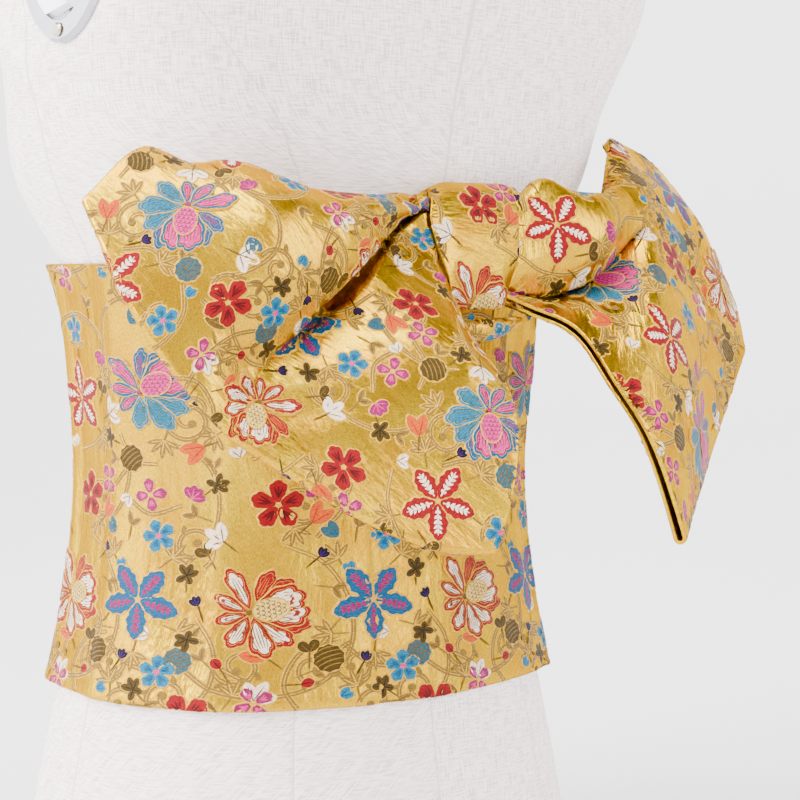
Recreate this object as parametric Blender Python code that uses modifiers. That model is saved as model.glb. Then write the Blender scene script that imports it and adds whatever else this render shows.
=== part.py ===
"""Obi sash with a drooping bow, on a limbless dress form.

The form faces -Y, its left side is +X, and it stands on its flat base at z = 0. The sash is a
stiff brocade band round the waist, with a ready-tied bow on its back (+Y): two wings, each a
wide flat loop of cloth folded at its outer end, the gathered middle that joins them, the wrap
strip round that middle, and the lowest pleat, which hangs below the wrap.

Tables are in centimetres. Heights in them are measured from the waist, sideways from the
centre back, and out from the form's upright axis.
"""

import math
from collections import namedtuple

import bmesh
import bpy
import numpy as np

CM = 0.01

WAIST_HEIGHT = 20.5 * CM  # the waist above the flat base
TOUCH_GAP = 0.0003  # left between pieces that touch

BAND_TOP = 10.2  # cm above the waist
BAND_BOTTOM = -8.7
BAND_WALL = 0.0024  # brocade, interfacing and lining together
BAND_EASE = 0.0006  # between the form and the inside of the band
BAND_RIPPLE = 0.0010  # half the depth of the soft upright undulations
BAND_WAVES = 9

WING_WALL = 0.0018  # one layer of the doubled, interfaced cloth
ROOT_GAP = 0.0011  # between a wing's two layers where they are drawn together
WING_GAP = 0.0021  # and from there outwards
EASE_PASSES = 4  # evens out the layer behind where it is drawn together
MITRE_LIMIT = 1.5  # how far a bend may push out the layer behind it, against the flat cloth
WRAP_WALL = 0.0020
WRAP_FLARE = 0.0012  # how far the wrap's edges stand up
PLEAT_REACH = 1.5  # cm: how far the lowest pleat runs in under the wrap

GATHER_PLEATS = 9
GATHER_PLEAT_DEPTH = 0.10  # cm
GATHER_CENTRE = (10.95, 10.9)  # cm: out and up; behind the wings' roots, inside the wrap
GATHER_HALF = (0.72, 1.35)  # cm: half its depth and height

PLATE_CENTRE = (3.2, 25.2)  # cm: back from the axis, above the waist
PLATE_HALF = (4.1, 5.6)  # cm: half width, half height
PLATE_DEPTH = 0.35
RIM_WIDTH = 1.05
DISH_DEPTH = 1.0
DISH_WALL = 0.2
SCREW_UP = 20.15
SCREW_RADIUS = 0.30

FORM_SEGMENTS = 52
BAND_ROWS = 11
WING_ALONG = 15
WING_ACROSS = 22
PLATE_SEGMENTS = 32

FormRow = namedtuple("FormRow", "up half_width front back square_front square_back")
FORM = [
    FormRow(-20.5, 13.7, 10.2, 10.8, 2.3, 2.3),
    FormRow(-15.2, 13.1, 9.8, 10.3, 2.3, 2.3),
    FormRow(-10.5, 12.2, 9.1, 9.6, 2.3, 2.3),
    FormRow(-5.0, 11.0, 8.2, 8.8, 2.3, 2.3),
    FormRow(0.0, 10.5, 7.6, 8.4, 2.3, 2.3),
    FormRow(5.0, 10.8, 7.6, 8.7, 2.3, 2.3),
    FormRow(10.2, 11.7, 8.2, 9.2, 2.2, 2.4),
    FormRow(14.0, 13.7, 9.2, 10.3, 2.1, 2.7),
    FormRow(17.5, 14.7, 9.0, 11.0, 2.1, 2.8),
    FormRow(23.0, 16.4, 7.2, 12.5, 2.1, 3.1),
    FormRow(28.0, 16.6, 6.4, 12.3, 2.2, 2.9),
    FormRow(31.5, 16.3, 5.6, 11.0, 2.2, 2.5),
    FormRow(33.8, 14.6, 4.8, 9.8, 2.2, 2.2),
    FormRow(35.6, 10.8, 4.2, 8.6, 2.1, 2.1),
    FormRow(37.0, 7.6, 3.9, 7.5, 2.0, 2.0),
    FormRow(38.2, 6.1, 4.0, 6.9, 2.0, 2.0),
    FormRow(41.0, 5.6, 4.3, 6.3, 2.0, 2.0),
]
BUST = namedtuple("Bust", "side up reach width height")(8.2, 16.0, 3.2, 5.0, 4.8)
ARM_FLAT = namedtuple("ArmFlat", "low_up low_side high_up high_side")(19.6, 15.1, 30.8, 14.7)

# One row for each section of a wing, from its gathered root (along 0) to its outer fold (1):
# the open lower edge, how far the lower panel swells there, the valley of the main fold, how
# far the roll above it swells, the highest point, and how far the cloth turns down behind it.
# Points are (sideways, out, up); full_roll is 1 for a round roll that rises straight from the
# valley and 0 where the fold has died out.
Section = namedtuple("Section", "along low belly valley roll top turn full_roll")
LEFT_WING = [
    Section(0.00, (1.4, 12.4, 9.1), (0, 0.2, 0), (2.0, 11.9, 12.2), (0, 0.1, 0), (2.1, 11.5, 13.0), 0.0, 0.0),
    Section(0.06, (2.0, 12.85, 8.75), (0, 0.1, 0), (2.8, 12.4, 12.5), (0, 0.1, 0), (2.8, 12.0, 13.3), 0.0, 0.2),
    Section(0.13, (2.2, 13.8, 8.1), (0, 0.1, 0), (3.5, 12.3, 12.0), (0, 0.7, 0), (3.8, 11.8, 13.3), 0.2, 0.9),
    Section(0.25, (2.8, 15.3, 7.1), (0, 0.2, 0), (5.0, 12.6, 11.1), (0.2, 1.2, 0), (5.7, 12.2, 13.2), 0.5, 1.0),
    Section(0.45, (3.4, 17.9, 5.3), (0.1, 0.4, 0.2), (7.3, 12.9, 9.7), (0.5, 1.9, -0.2), (8.6, 11.9, 13.4), 0.5, 1.0),
    Section(0.70, (4.1, 19.2, 2.9), (0.2, 0.4, 0.2), (10.1, 12.8, 7.7), (1.2, 2.3, -0.4), (12.4, 10.4, 14.4), 0.4, 1.0),
    Section(0.87, (4.8, 19.5, 0.9), (0.2, 0.3, -0.1), (12.4, 13.2, 5.8), (1.5, 1.6, -0.4), (15.1, 9.4, 14.6), 0.1, 0.4),
    Section(1.00, (5.4, 19.4, -0.9), (-0.4, 0.9, -1.3), (14.2, 14.4, 3.8), (0.9, 0.3, -0.5), (17.6, 8.8, 12.9), 0.0, 0.0),
]
RIGHT_WING = [
    Section(0.00, (0.6, 12.4, 9.4), (0, 0.0, 0), (0.7, 12.3, 9.7), (0, 0.6, 0), (2.0, 11.3, 13.2), 0.0, 0.3),
    Section(0.06, (1.5, 12.8, 9.0), (0, 0.0, 0), (1.7, 12.5, 9.2), (-0.1, 0.8, 0), (2.9, 11.6, 13.7), 0.0, 0.5),
    Section(0.13, (2.8, 13.1, 8.5), (0, 0.1, 0), (3.5, 12.6, 8.8), (0.2, 1.1, 0), (3.9, 12.0, 14.0), 0.4, 1.0),
    Section(0.25, (3.7, 14.6, 7.7), (0, 0.1, 0), (5.4, 12.9, 9.0), (0.4, 1.3, 0), (5.8, 12.4, 13.7), 0.5, 1.0),
    Section(0.45, (4.0, 17.0, 5.1), (0.0, 0.2, 0.0), (8.0, 12.9, 10.5), (0.3, 0.9, 0.1), (8.5, 12.0, 13.6), 0.5, 1.0),
    Section(0.62, (4.5, 18.2, 3.2), (0.2, 0.4, 0.2), (10.3, 13.1, 12.0), (0.2, 0.5, 0.1), (10.8, 9.8, 15.4), 0.0, 0.4),
    Section(0.80, (5.1, 18.8, 1.2), (0.2, 0.4, 0.0), (13.4, 12.9, 9.7), (0.4, 0.6, 0.1), (12.8, 8.6, 16.2), 0.0, 0.0),
    Section(0.90, (5.5, 19.0, -0.1), (0.0, 0.1, -0.7), (15.1, 13.0, 8.0), (0.6, 0.5, 0), (15.5, 8.6, 15.1), 0.0, 0.0),
    Section(1.00, (5.9, 19.1, -1.3), (-0.4, -0.3, -1.5), (16.7, 13.1, 6.3), (0.6, 0.3, -0.3), (17.6, 8.7, 12.9), 0.0, 0.0),
]
LOWER_SHARE = 0.45  # of the points across a wing, those below the valley

# The wrap strip's outer face, going round from its lower front: out, up, and its two sides.
WrapRow = namedtuple("WrapRow", "out up left right")
WRAP = [
    WrapRow(13.0, 8.4, 1.9, -1.2),
    WrapRow(13.3, 9.6, 2.3, -1.4),
    WrapRow(13.1, 11.0, 2.6, -1.8),
    WrapRow(12.6, 12.4, 2.6, -2.2),
    WrapRow(11.8, 13.6, 2.2, -2.6),
    WrapRow(11.0, 13.9, 2.0, -2.6),
    WrapRow(10.5, 13.3, 2.1, -2.5),
    WrapRow(10.15, 12.2, 2.3, -2.4),
    WrapRow(9.85, 10.8, 2.2, -2.2),
    WrapRow(9.8, 9.6, 2.0, -2.0),
    WrapRow(10.4, 8.9, 1.9, -1.8),
    WrapRow(11.7, 8.7, 1.8, -1.4),
]

# The lowest pleat of the gathered middle: its middle line from the left wing to the right.
PleatRow = namedtuple("PleatRow", "side out up height")
LOW_PLEAT = [
    PleatRow(1.9, 12.8, 7.70, 0.75),
    PleatRow(1.2, 13.0, 7.70, 0.80),
    PleatRow(-0.3, 13.2, 7.75, 0.80),
    PleatRow(-1.4, 13.0, 7.90, 0.55),
    PleatRow(-2.3, 12.7, 8.05, 0.30),
]

Finish = namedtuple("Finish", "colour roughness metallic")
LINEN = Finish((0.80, 0.76, 0.72, 1.0), 0.85, 0.0)
BROCADE = Finish((0.72, 0.50, 0.17, 1.0), 0.38, 0.35)
CHROME = Finish((0.60, 0.60, 0.63, 1.0), 0.16, 1.0)
SCREW_STEEL = Finish((0.45, 0.38, 0.30, 1.0), 0.35, 1.0)


def curve_through(stations, values, at):
    """Smooth values at the given stations: a cubic Hermite curve with Catmull-Rom slopes."""
    stations = np.asarray(stations, float)
    values = np.asarray(values, float).reshape(len(stations), -1)
    slopes = np.gradient(values, stations, axis=0)
    at = np.clip(np.asarray(at, float), stations[0], stations[-1])
    low = np.clip(np.searchsorted(stations, at, side="right") - 1, 0, len(stations) - 2)
    span = (stations[low + 1] - stations[low])[:, None]
    t = (at - stations[low])[:, None] / span
    start, end = values[low], values[low + 1]
    out_slope, in_slope = slopes[low] * span, slopes[low + 1] * span
    return (
        start * (2 * t**3 - 3 * t**2 + 1)
        + out_slope * (t**3 - 2 * t**2 + t)
        + end * (3 * t**2 - 2 * t**3)
        + in_slope * (t**3 - t**2)
    )


def unit(vectors):
    """The vectors scaled to length 1."""
    return vectors / np.maximum(np.linalg.norm(vectors, axis=-1, keepdims=True), 1e-9)


def material(name, finish):
    """A plain Principled material, made once for each name."""
    made = bpy.data.materials.get(name)
    if made is None:
        made = bpy.data.materials.new(name)
        made.use_nodes = True
        shader = made.node_tree.nodes["Principled BSDF"]
        shader.inputs["Base Color"].default_value = finish.colour
        shader.inputs["Roughness"].default_value = finish.roughness
        shader.inputs["Metallic"].default_value = finish.metallic
        made.diffuse_color = finish.colour
    return made


def add_object(name, mesh, look, collection):
    """A new object in the part's collection, smooth shaded."""
    obj = bpy.data.objects.new(name, mesh)
    mesh.materials.append(material(*look))
    mesh.shade_smooth()
    collection.objects.link(obj)
    return obj


def mesh_from_bmesh(name, shape):
    """A mesh datablock of the bmesh, with its faces turned out."""
    bmesh.ops.recalc_face_normals(shape, faces=shape.faces)
    mesh = bpy.data.meshes.new(name)
    shape.to_mesh(mesh)
    shape.free()
    return mesh


def grid_mesh(name, points, close_along=False, cap_ends=False):
    """A quad mesh of rows of points, closed along each row and capped at both ends if asked."""
    rows, columns = points.shape[:2]
    shape = bmesh.new()
    verts = [[shape.verts.new(point) for point in row] for row in points]
    for i in range(rows - 1):
        for j in range(columns if close_along else columns - 1):
            k = (j + 1) % columns
            shape.faces.new((verts[i][j], verts[i][k], verts[i + 1][k], verts[i + 1][j]))
    if cap_ends:
        shape.faces.new(verts[0])
        shape.faces.new(verts[-1])
    return mesh_from_bmesh(name, shape)


def thicken(obj, wall, offset):
    """Gives an open surface its wall with a Solidify modifier."""
    wall_modifier = obj.modifiers.new("wall", "SOLIDIFY")
    wall_modifier.thickness = wall
    wall_modifier.offset = offset
    return obj


def form_ring(up, angles):
    """Points of the form's skin at a height in cm above the waist, in metres from its axis."""
    stations = [row.up for row in FORM]
    table = np.array([row[1:] for row in FORM])
    half_width, front, back, square_front, square_back = curve_through(stations, table, [up])[0]
    cos, sin = np.cos(angles), np.sin(angles)
    at_back = sin > 0
    square = np.where(at_back, square_back, square_front)
    side = half_width * np.sign(cos) * np.abs(cos) ** (2 / square)
    out = np.where(at_back, back, front) * np.sign(sin) * np.abs(sin) ** (2 / square)
    apex = (np.abs(side) - BUST.side) / BUST.width
    rise = (up - BUST.up) / BUST.height
    swell = BUST.reach * np.exp(-(apex**2) - rise**2) * np.clip(-sin * 1.6, 0, 1)
    out = out - swell
    flat = np.interp(
        up, (ARM_FLAT.low_up, ARM_FLAT.high_up), (ARM_FLAT.low_side, ARM_FLAT.high_side)
    )
    side = np.clip(side, -flat, flat)
    return np.stack([side * CM, out * CM, np.full_like(side, up * CM + WAIST_HEIGHT)], axis=-1)


def ring_angles(count):
    return np.arange(count) * 2 * math.pi / count


def band_heights():
    return np.linspace(BAND_BOTTOM, BAND_TOP, BAND_ROWS)


def form_heights():
    """Heights of the torso's rings; they match the band's, and the arm flats' two ends."""
    zones = (
        (FORM[0].up, BAND_BOTTOM, 6),
        (BAND_BOTTOM, BAND_TOP, BAND_ROWS - 1),
        (BAND_TOP, ARM_FLAT.low_up, 6),
        (ARM_FLAT.low_up, ARM_FLAT.high_up, 5),
        (ARM_FLAT.high_up, FORM[-1].up, 8),
    )
    starts = [np.linspace(low, high, steps, endpoint=False) for low, high, steps in zones]
    return np.append(np.concatenate(starts), FORM[-1].up)


def make_form(collection):
    """The linen torso, solid from its flat base to the neck; its rings match the band's."""
    rings = np.array([form_ring(up, ring_angles(FORM_SEGMENTS)) for up in form_heights()])
    mesh = grid_mesh("form_torso", rings, close_along=True, cap_ends=True)
    return add_object("form_torso", mesh, ("linen", LINEN), collection)


def make_neck_cap(collection):
    """The low domed cap that closes the neck."""
    top = FORM[-1]
    angles = ring_angles(32)
    rings = []
    base = top.up * CM + WAIST_HEIGHT + TOUCH_GAP
    for scale, rise in ((1.03, 0.0), (1.03, 0.6), (0.98, 1.0), (0.72, 1.35), (0.38, 1.55)):
        ring = form_ring(top.up, angles)
        centre = ring.mean(axis=0)
        ring = centre + (ring - centre) * scale
        ring[:, 2] = base + rise * CM
        rings.append(ring)
    mesh = grid_mesh("form_neck_cap", np.array(rings), close_along=True, cap_ends=True)
    add_object("form_neck_cap", mesh, ("linen", LINEN), collection)


def band_surface(ups, angles):
    """The inside of the band: the form's skin, eased off it, with soft upright undulations."""
    rings = []
    for up in ups:
        ring = form_ring(up, angles)
        out = unit(ring * (1, 1, 0) - ring.mean(axis=0) * (1, 1, 0))
        wave = np.maximum(0, np.sin(angles * BAND_WAVES + 0.6 * np.sin(2 * angles)))
        rings.append(ring + out * (BAND_EASE + 2 * BAND_RIPPLE * wave)[:, None])
    return np.array(rings)


def make_band(collection):
    """The waist band, one tube of stiff brocade."""
    rings = band_surface(band_heights(), ring_angles(FORM_SEGMENTS))
    mesh = grid_mesh("obi_band", rings, close_along=True)
    obj = add_object("obi_band", mesh, ("brocade", BROCADE), collection)
    thicken(obj, BAND_WALL, 1)


def rib(section, count):
    """Points across a wing at one section: up its lower panel, over its roll and down behind."""
    low, belly, valley, roll, top = (
        np.array(point, float)
        for point in (section.low, section.belly, section.valley, section.roll, section.top)
    )
    below = round(count * LOWER_SHARE)
    t = np.linspace(0, 1, below, endpoint=False)[:, None]
    lower = low + (valley - low) * t + belly * np.sin(math.pi * t)
    turn = np.linspace(0, 1 + section.turn, count - below)[:, None]
    rise = np.minimum(turn, 1)
    rise = rise + ((1 - np.cos(math.pi * rise)) / 2 - rise) * section.full_roll
    front = valley + (top - valley) * rise + roll * np.sin(math.pi * turn)
    past = math.pi * (turn - 1)
    onward = (top - valley) * (1 - section.full_roll) / math.pi - roll
    behind = top + onward * np.sin(past) - (top - valley) * (1 - np.cos(past)) / 2
    return np.concatenate([lower, np.where(turn < 1, front, behind)]) * CM


def wing_face(sections, side, along, across):
    """The outer face of a wing as a grid of points, rows from the root to the outer fold."""
    ribs = np.array([rib(section, across) for section in sections])
    stations = [section.along for section in sections]
    at = np.linspace(0, 1, along)
    face = curve_through(stations, ribs.reshape(len(sections), -1), at).reshape(along, across, 3)
    face = soften(face)
    return face * (side, 1, 1) + (0, 0, WAIST_HEIGHT)


def soften(rows):
    """The rows with each inner column moved towards the mean of its neighbours."""
    inner = (rows[:, :-2] + 2 * rows[:, 1:-1] + rows[:, 2:]) / 4
    return np.concatenate([rows[:, :1], inner, rows[:, -1:]], axis=1)


def face_normals(face, side, opening):
    """Normals of a wing's outer face, away from the form, longer where it bends, as a mitre is."""
    steps = unit(np.diff(face, axis=1))
    after = np.concatenate([steps, steps[:, -1:]], axis=1)
    before = np.concatenate([steps[:, :1], steps], axis=1)
    across = unit(before + after)
    half_bend = np.sum(across * after, axis=-1, keepdims=True)
    normals = unit(np.cross(across, np.gradient(face, axis=0))) * side
    eased = normals
    for _ in range(EASE_PASSES):
        eased = soften(eased)
    normals = unit(eased + (normals - eased) * opening)
    return normals / np.maximum(half_bend, 1 / MITRE_LIMIT)


def make_wing(name, sections, side, collection):
    """A wing: one cloth from the root to the outer fold and back behind itself."""
    face = wing_face(sections, side, WING_ALONG, WING_ACROSS)
    opening = np.clip(np.linspace(0, 1, WING_ALONG) / 0.4, 0, 1)[:, None, None]
    gap = ROOT_GAP + (WING_GAP - ROOT_GAP) * opening
    normals = face_normals(face, side, opening)
    front = face - normals * WING_WALL / 2
    back = face - normals * (1.5 * WING_WALL + gap)
    middle = (front[-1] + back[-1]) / 2
    radius = (WING_WALL + WING_GAP) / 2
    outward = unit(face[-1] - face[-2])
    fold = [
        middle + (unit(normals[-1]) * math.cos(turn) + outward * math.sin(turn)) * radius
        for turn in np.linspace(0, math.pi, 5)[1:-1]
    ]
    rows = np.concatenate([front, np.array(fold), back[::-1]])
    mesh = grid_mesh(name, rows)
    obj = add_object(name, mesh, ("brocade", BROCADE), collection)
    thicken(obj, WING_WALL, 0)


def around(rows, count):
    """The rows of a closed loop's table, resampled evenly to count rows."""
    table = np.array(rows, float)
    lap = len(table)
    padded = np.concatenate([table[-2:], table, table[:3]])
    return curve_through(np.arange(-2, lap + 3), padded, np.linspace(0, lap, count, endpoint=False))


def make_wrap(collection):
    """The strip that goes once round the gathered middle, tapering to its lower front."""
    loop = around(WRAP, 36)
    outward = unit(loop[:, :2] - loop[:, :2].mean(axis=0))
    rows = []
    for share in np.linspace(0, 1, 7):
        side = loop[:, 2] + (loop[:, 3] - loop[:, 2]) * share
        flare = WRAP_FLARE / CM * (2 * share - 1) ** 4
        out, up = (loop[:, :2] + outward * flare).T
        rows.append(np.stack([side, out, up], axis=-1) * CM + (0, 0, WAIST_HEIGHT))
    mesh = grid_mesh("bow_wrap", np.array(rows), close_along=True)
    obj = add_object("bow_wrap", mesh, ("brocade", BROCADE), collection)
    thicken(obj, WRAP_WALL, -1)


def make_gather(collection):
    """The middle of the bow cloth, drawn together in pleats inside the wrap."""
    angles = ring_angles(6 * GATHER_PLEATS)
    pleats = GATHER_PLEAT_DEPTH * np.sin(angles * GATHER_PLEATS)
    rows = []
    for side, scale in ((-2.0, 0.75), (-1.7, 1.0), (0.0, 0.95), (1.6, 1.0), (1.9, 0.75)):
        out = GATHER_CENTRE[0] + (GATHER_HALF[0] * scale + pleats) * np.cos(angles)
        up = GATHER_CENTRE[1] + (GATHER_HALF[1] * scale + pleats) * np.sin(angles)
        points = np.stack([np.full_like(out, side), out, up], axis=-1)
        rows.append(points * CM + (0, 0, WAIST_HEIGHT))
    mesh = grid_mesh("bow_gather", np.array(rows), close_along=True, cap_ends=True)
    add_object("bow_gather", mesh, ("brocade", BROCADE), collection)


def make_low_pleat(collection):
    """The lowest pleat, a fold of cloth that hangs just below the wrap."""
    stations = np.arange(len(LOW_PLEAT))
    line = curve_through(stations, LOW_PLEAT, np.linspace(0, stations[-1], 13))
    rows = []
    for side, out, up, height in line:
        section = (
            (out - 0.10, up + height * 0.45),
            (out + 0.04, up + height * 0.15),
            (out - 0.02, up - height * 0.20),
            (out - 0.20, up - height * 0.48),
            (out - 0.50, up - height * 0.45),
            (out - 0.60 * PLEAT_REACH, up - height * 0.20),
            (out - PLEAT_REACH, up),
        )
        rows.append([(side * CM, a * CM, b * CM + WAIST_HEIGHT) for a, b in section])
    mesh = grid_mesh("bow_low_pleat", np.array(rows))
    obj = add_object("bow_low_pleat", mesh, ("brocade", BROCADE), collection)
    thicken(obj, WRAP_WALL, 0)


def plate_frame(side):
    """Maps (back, up, depth) in cm on an arm flat to world metres; depth 0 is the linen."""
    lean = math.atan2(ARM_FLAT.low_side - ARM_FLAT.high_side, ARM_FLAT.high_up - ARM_FLAT.low_up)

    def place(points):
        back, up, depth = np.moveaxis(np.asarray(points, float), -1, 0)
        rise = up - ARM_FLAT.low_up
        x = ARM_FLAT.low_side - rise * math.sin(lean) + depth * math.cos(lean)
        z = ARM_FLAT.low_up + rise * math.cos(lean) + depth * math.sin(lean)
        return np.stack([side * x * CM, back * CM, z * CM + WAIST_HEIGHT], axis=-1)

    return place


def egg(inset, depth, scale=1.0):
    """A ring of the arm plate, an egg narrower below, inset in cm from its edge."""
    angles = ring_angles(PLATE_SEGMENTS)
    half_wide, half_high = (half - inset for half in PLATE_HALF)
    narrow = 1 - 0.12 * np.clip(-np.sin(angles), 0, 1)
    back = np.cos(angles) * half_wide * narrow * scale + PLATE_CENTRE[0]
    up = np.sin(angles) * half_high * scale + PLATE_CENTRE[1]
    return np.stack([back, up, np.full(PLATE_SEGMENTS, depth)], axis=-1)


def make_arm_plate(name, side, collection):
    """A chrome rim on the flat where an arm would fit, round a shallow dish."""
    gap = TOUCH_GAP / CM
    outside = RIM_WIDTH - DISH_WALL
    rings = [
        egg(RIM_WIDTH, -DISH_DEPTH, 0.15),
        egg(RIM_WIDTH, -DISH_DEPTH * 0.9, 0.60),
        egg(RIM_WIDTH, -DISH_DEPTH * 0.6, 0.88),
        egg(RIM_WIDTH, PLATE_DEPTH * 0.5),
        egg(RIM_WIDTH - 0.12, PLATE_DEPTH),
        egg(0.15, PLATE_DEPTH),
        egg(0.0, PLATE_DEPTH * 0.5),
        egg(0.0, gap),
        egg(outside, gap),
        egg(outside, -DISH_DEPTH * 0.6 - DISH_WALL),
        egg(outside, -DISH_DEPTH - DISH_WALL, 0.7),
    ]
    mesh = grid_mesh(name, plate_frame(side)(rings), close_along=True, cap_ends=True)
    add_object(name, mesh, ("chrome", CHROME), collection)


def make_screw(name, side, collection):
    """The screw in the lower end of an arm plate."""
    angles = ring_angles(16)
    place = plate_frame(side)
    base = PLATE_DEPTH + TOUCH_GAP / CM
    rings = []
    for scale, depth in ((1.0, base), (1.0, base + 0.05), (0.7, base + 0.12)):
        back = np.cos(angles) * SCREW_RADIUS * scale + PLATE_CENTRE[0]
        up = np.sin(angles) * SCREW_RADIUS * scale + SCREW_UP
        rings.append(place(np.stack([back, up, np.full(16, depth)], axis=-1)))
    mesh = grid_mesh(name, np.array(rings), close_along=True, cap_ends=True)
    add_object(name, mesh, ("screw_steel", SCREW_STEEL), collection)


def cut_pocket(torso, side, cutters):
    """Cuts the pocket that an arm plate's dish sits in."""
    clear = RIM_WIDTH - DISH_WALL - 2 * TOUCH_GAP / CM
    floor = -DISH_DEPTH - DISH_WALL - TOUCH_GAP / CM
    rings = plate_frame(side)([egg(clear, floor), egg(clear, 2.0)])
    mesh = grid_mesh("pocket_cutter", rings, close_along=True, cap_ends=True)
    cutter = bpy.data.objects.new(mesh.name, mesh)
    cutter.hide_render = True
    cutter.display_type = "WIRE"
    cutters.objects.link(cutter)
    cut = torso.modifiers.new(mesh.name, "BOOLEAN")
    cut.operation = "DIFFERENCE"
    cut.object = cutter


def main():
    for obj in list(bpy.data.objects):
        bpy.data.objects.remove(obj)
    collection = bpy.data.collections.new("obi_sash_on_dress_form")
    cutters = bpy.data.collections.new("cutters")
    bpy.context.scene.collection.children.link(collection)
    bpy.context.scene.collection.children.link(cutters)
    torso = make_form(collection)
    make_neck_cap(collection)
    for label, side in (("left", 1), ("right", -1)):
        cut_pocket(torso, side, cutters)
        make_arm_plate("form_arm_plate_" + label, side, collection)
        make_screw("form_screw_" + label, side, collection)
    make_band(collection)
    make_wing("bow_wing_left", LEFT_WING, 1, collection)
    make_wing("bow_wing_right", RIGHT_WING, -1, collection)
    make_wrap(collection)
    make_gather(collection)
    make_low_pleat(collection)


main()
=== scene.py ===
"""Obi sash on a dress form: the looks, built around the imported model.

Lengths in the tables are centimetres, and heights are counted from the form's waist.
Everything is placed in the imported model's frame: metres, +Z up, the bow at +Y.
"""

import math
from collections import namedtuple

import bmesh
import bpy
import numpy as np
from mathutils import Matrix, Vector
from mathutils.bvhtree import BVHTree
from mathutils.kdtree import KDTree


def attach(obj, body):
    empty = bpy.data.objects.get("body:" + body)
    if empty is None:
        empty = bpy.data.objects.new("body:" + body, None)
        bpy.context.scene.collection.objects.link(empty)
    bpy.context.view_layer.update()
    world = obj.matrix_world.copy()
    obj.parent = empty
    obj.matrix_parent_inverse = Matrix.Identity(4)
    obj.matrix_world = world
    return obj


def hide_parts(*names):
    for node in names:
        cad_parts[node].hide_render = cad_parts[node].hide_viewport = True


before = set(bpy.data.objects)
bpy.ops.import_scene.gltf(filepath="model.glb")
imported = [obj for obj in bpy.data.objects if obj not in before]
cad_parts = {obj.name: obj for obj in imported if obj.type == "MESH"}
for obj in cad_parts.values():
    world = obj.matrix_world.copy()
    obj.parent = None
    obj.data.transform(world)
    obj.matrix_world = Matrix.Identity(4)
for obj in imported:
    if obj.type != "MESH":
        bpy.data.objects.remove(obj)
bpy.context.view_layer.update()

CM = 0.01
MM = 0.001
WAIST_HEIGHT = 20.5 * CM
BAND_TOP, BAND_BOTTOM = 10.2, -8.7  # cm above the waist
BAND_WALL = 2.4 * MM
BAND_EASE = 0.6 * MM  # how far the band stands off the linen
BAND_RIPPLE = 1.0 * MM
BAND_WAVES = 9
WING_WALL = 1.8 * MM
ROOT_GAP, WING_GAP = 1.1 * MM, 2.1 * MM  # between a wing's two layers, at its root and outer fold
EASE_PASSES = 24
MITRE_LIMIT = 1.3
WRAP_WALL = 2.0 * MM
WRAP_FLARE = 0.02  # cm by which the strip's edges stand up
PLEAT_REACH = 1.5
PLATE_CENTRE = (3.2, 25.2)  # back and up, cm
PLATE_HALF = (4.1, 5.6)
LOWER_SHARE = 0.45  # of a wing's points across it, below its main fold

# ---------------------------------------------------------------- the form and cloth, as in the solids

FormRow = namedtuple("FormRow", "up half_width front back square_front square_back")
Section = namedtuple("Section", "along low belly valley roll top turn full_roll")
WrapRow = namedtuple("WrapRow", "out up left right")
PleatRow = namedtuple("PleatRow", "side out up height")


def rows_of(kind, *rows):
    """A list of rows with named columns."""
    return [kind(*row) for row in rows]


FORM = rows_of(
    FormRow,
    (-20.5, 13.7, 10.2, 10.8, 2.3, 2.3),
    (-15.2, 13.1, 9.8, 10.3, 2.3, 2.3),
    (-10.5, 12.2, 9.1, 9.6, 2.3, 2.3),
    (-5.0, 11.0, 8.2, 8.8, 2.3, 2.3),
    (0.0, 10.5, 7.6, 8.4, 2.3, 2.3),
    (5.0, 10.8, 7.6, 8.7, 2.3, 2.3),
    (10.2, 11.7, 8.2, 9.2, 2.2, 2.4),
    (14.0, 13.7, 9.2, 10.3, 2.1, 2.7),
    (17.5, 14.7, 9.0, 11.0, 2.1, 2.8),
    (23.0, 16.4, 7.2, 12.5, 2.1, 3.1),
    (28.0, 16.6, 6.4, 12.3, 2.2, 2.9),
    (31.5, 16.3, 5.6, 11.0, 2.2, 2.5),
    (33.8, 14.6, 4.8, 9.8, 2.2, 2.2),
    (35.6, 10.8, 4.2, 8.6, 2.1, 2.1),
    (37.0, 7.6, 3.9, 7.5, 2.0, 2.0),
    (38.2, 6.1, 4.0, 6.9, 2.0, 2.0),
    (41.0, 5.6, 4.3, 6.3, 2.0, 2.0),
)
BUST = namedtuple("Bust", "side up reach width height")(8.2, 16.0, 3.2, 5.0, 4.8)
BUST_SPREAD = 1.6  # how soon the swell is full, going round to the front
ARM_FLAT = namedtuple("ArmFlat", "low_up low_side high_up high_side")(19.6, 15.1, 30.8, 14.7)

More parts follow.
